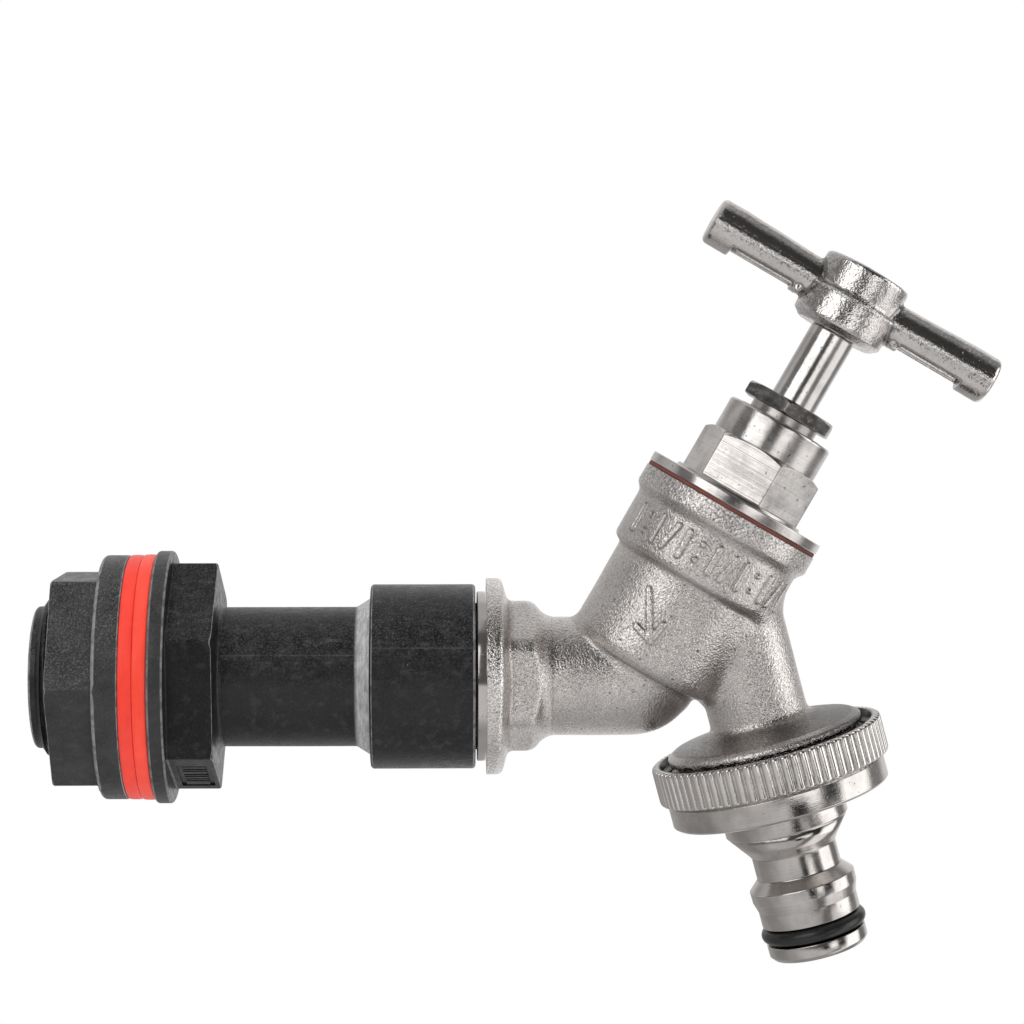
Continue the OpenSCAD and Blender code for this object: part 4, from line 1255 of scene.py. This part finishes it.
def tap_field(p):
    R, t = BARREL_RT
    q = (p - t) @ R
    rb = np.hypot(q[:, 0], q[:, 1])
    tb = q[:, 2]
    qp = (p - PIPE_RT[1]) @ PIPE_RT[0]
    boss = f_poly(BOSS_POLY, qp[:, 0], qp[:, 1]) - BOSS_RC
    coned = 0.63 * (np.hypot(qp[:, 0], qp[:, 1]) - 12.15) + 0.777 * (qp[:, 2] - 64.95)
    boss = cross(cross(boss, coned, 0.8), np.maximum(57.5 - qp[:, 2], qp[:, 2] - 67.5), 0.2)
    f = join(FLANGE(p), boss, 0.8)
    f = join(f, PIPE_F(p), 1.2)
    g = join(BARREL_F.at(rb, tb), ELBOW_F.at(rb, tb), 1.2)
    f = join(f, g, 1.1)
    f = join(f, SPOUT_F(p), 2.0)
    low = value_noise(p / 5.0, 3) * 0.045 + value_noise(p / 2.1, 5) * 0.015
    f = f + low
    th = np.arctan2(q[:, 1], q[:, 0])
    near = (np.abs(rb - 14.85) < 1.6) & (tb > 19.5) & (tb < 27.5) & (q[:, 1] < 2)
    if near.any():
        arc = ((th[near] - math.radians(270) + math.pi) % (2 * math.pi) - math.pi) * 14.85
        m = cross(strokes(arc, tb[near], BAND_MARKS) - 0.46, rb[near] - 15.42, 0.12)
        f[near] = join(f[near], m, 0.15)
    near = (np.abs(rb - 13.4) < 1.6) & (tb > 3) & (tb < 18.5) & (q[:, 1] < 2)
    if near.any():
        arc = ((th[near] - ARROW_AT + math.pi) % (2 * math.pi) - math.pi) * 13.4
        u, v = arc, tb[near] - 10.4
        c, s = math.cos(ARROW_TILT), math.sin(ARROW_TILT)
        m = cross(strokes(u * c + v * s, -u * s + v * c + 11.0, ARROW) - 0.48, rb[near] - 13.92, 0.12)
        f[near] = join(f[near], m, 0.16)
    return f


def near_marks(p):
    R, t = BARREL_RT
    q = (p - t) @ R
    rb, tb = np.hypot(q[:, 0], q[:, 1]), q[:, 2]
    band = (rb > 14.3) & (tb > 20.4) & (tb < 26.9) & (q[:, 1] < 0) & (np.abs(q[:, 0]) < 14.4)
    arc = ((np.arctan2(q[:, 1], q[:, 0]) - ARROW_AT + math.pi) % (2 * math.pi) - math.pi) * 13.4
    spot = (np.abs(rb - 13.5) < 0.7) & (np.abs(arc) < 5.4) & (np.abs(tb - 10.4) < 5.6) & (q[:, 1] < 0)
    return band | spot


H = 0.478
body = casting("tap_casting", tap_field, (55, -17.5, -24), (124, 17.5, 42), H,
               refine=[(near_marks, 2)])

# machined ends: inlet thread and shoulder, union thread, bores and the rim's face
inlet = lathe("t1", [(0, 42.0), (12.15, 42.0, 0.2, 2), (13.15, 43.1)] + span(13.17, 43.2, 53.9, 0.2)
              + [(12.2, 54.3), (12.2, 55.35, 0.1, 1), (14.15, 55.35, 0.2, 3), (14.15, 58.0), (0, 58.0)],
              PIPE, ring(120), closed=False, even=False,
              shape=lambda th, a: np.stack([a[:, 0] - np.where((a[:, 0] > 13.16) & (a[:, 0] < 13.18),
                                            1.1 * screwed(th, a[:, 1], STEM_P, 42.6, 54.4), 0), a[:, 1]], 1))
union = lathe("t2", [(0, 34.0), (15.2, 34.0), (15.4, 34.95), (15.4, 36.1)] + [(16.5, 36.95)] + span(16.63, 37.05, 41.5, 0.2)
              + [(15.7, 42.2), (0, 42.2)], SPOUT, ring(160), closed=False, even=False,
              shape=lambda th, a: np.stack([a[:, 0] - np.where((a[:, 0] > 16.6) & (a[:, 0] < 16.65),
                                            1.3 * screwed(th, a[:, 1], CONN_P, 35.6, 42.8), 0), a[:, 1]], 1))
front = lathe("t0", [(0, 50.0), (22.0, 50.0), (22.0, 56.94), (0, 56.94)], PIPE, ring(96), closed=False, even=False)
bore_in = lathe("t3", [(0, 40), (7.2, 40), (7.2, 83.5), (0, 83.5)], PIPE, ring(72), closed=False, even=False)
bore_up = lathe("t4", [(0, -1.5), (5.5, -1.5), (5.5, 10.0), (7.6, 10.0), (7.6, 8.8), (11.0, 8.8), (11.0, 31.93), (22, 31.93), (22, 36), (0, 36)],
                BARREL, ring(96), closed=False, even=False)
bore_out = lathe("t5", [(0, 11), (5.8, 11), (5.8, 45), (0, 45)], SPOUT, ring(72), closed=False, even=False)
for o in (front, inlet, union, bore_in, bore_up, bore_out):
    o.modifiers.clear()
for o, how in ((front, "DIFFERENCE"), (inlet, "UNION"), (union, "UNION"), (bore_in, "DIFFERENCE"), (bore_up, "DIFFERENCE"), (bore_out, "DIFFERENCE")):
    body = boolean(body, o, how)
body.data.set_sharp_from_angle(angle=math.radians(50))
dress(body, M_CAST, "tap", "cast_nickel", "tap_body")

# ------------------------------------------------------------------ the crutch handle
BAR_T, DROOP = 72.15, math.radians(0.3)
HUB_F = Turned([(0, 65.9), (6.7, 65.9, 0.2, 3), (8.0, 66.95, 0.22, 4), (8.05, 67.6, 0.5, 3), (7.95, 71.85, 0.25, 4), (7.5, 72.3, 0.3, 4),
                (7.6, 77.8, 0.75, 6), (0, 77.8)])
BAR_F = Turned([(0, -26.92), (4.07, -26.92, 0.9, 5), (4.07, -22.5, 2.0, 3), (3.65, -9.0, 2.0, 3), (3.6, 0), (3.65, 9.0, 2.0, 3), (4.07, 22.5, 2.0, 3),
                (4.07, 26.92, 0.9, 5), (0, 26.92)])


def handle_field(p):
    f = HUB_F.at(np.hypot(p[:, 0], p[:, 1]), p[:, 2])
    c, s = math.cos(DROOP), math.sin(DROOP)
    x, z = p[:, 0], p[:, 2] - BAR_T
    u, w = x * c - z * s, x * s + z * c
    y = p[:, 1]
    bar = BAR_F.at(np.hypot(y, w), u)
    au = np.abs(u)
    whole = bar
    pocket = f_box(np.stack([au, y, w], 1), (10.4, -7, -9), (22.0, 7, -2.3), 0.3)
    bar = cut(bar, pocket, 0.25)
    for yy in (-2.15, 2.15):                    # two ledges along the flat; the front one stops short
        stop = 21.2 if yy < 0 else 22.3
        rib = f_box(np.stack([au - stop, y - yy, w], 1), (-13.0, -0.33, -2.95), (0.0, 0.33, -1.8), 0.1)
        bar = join(bar, cross(rib, whole - 0.02, 0.1), 0.12)
    f = join(f, bar, 0.55)
    for sx, yy, r in ((-1, -2.5, 0.62), (1, -2.2, 0.5), (-1, 2.3, 0.55), (1, 2.5, 0.6)):
        lump = np.linalg.norm(p - (sx * 9.2, yy, 69.15), axis=1) - r
        f = join(f, lump, 0.7)
    hub = np.clip((10.5 - np.abs(p[:, 0])) / 2.0, 0, 1)
    f = f + value_noise(p / 3.2, 11) * 0.03 + value_noise(p / 1.3, 12) * (0.006 + 0.016 * hub)
    return f


def near_flat(p):
    return (np.abs(p[:, 0]) > 8.3) & (np.abs(p[:, 0]) < 23.2) & (p[:, 2] < 71.2) & (p[:, 2] > 67)


handle = casting("handle_casting", handle_field, (-28.5, -10, 64), (28.5, 10, 79.5), 0.34, axis=BARREL,
                 refine=[(near_flat, 1)])
hole = mesh_object("h1", [(x, y, z) for z in (64.0, 75.5) for x, y in ((-2.55, -2.55), (2.55, -2.55), (2.55, 2.55), (-2.55, 2.55))],
                   [(3, 2, 1, 0), (4, 5, 6, 7), (0, 1, 5, 4), (1, 2, 6, 5), (2, 3, 7, 6), (3, 0, 4, 7)])
hole.data.transform(Matrix.Translation(BARREL.translation * MM) @ BARREL.to_3x3().to_4x4())
recess = lathe("h2", [(0, 74.0), (2.2, 74.0), (2.2, 75.8), (4.4, 75.8), (4.4, 80), (0, 80)], BARREL, ring(64), closed=False, even=False)
recess.modifiers.clear()
for o in (hole, recess):
    handle = boolean(handle, o, "DIFFERENCE")
handle.data.set_sharp_from_angle(angle=math.radians(60))
dress(handle, M_HANDLE, "handle", "cast_nickel", "crutch_handle")

for o in (body, handle):
    print(o.name, len(o.data.polygons), sum(len(f.vertices) - 2 for f in o.data.polygons))
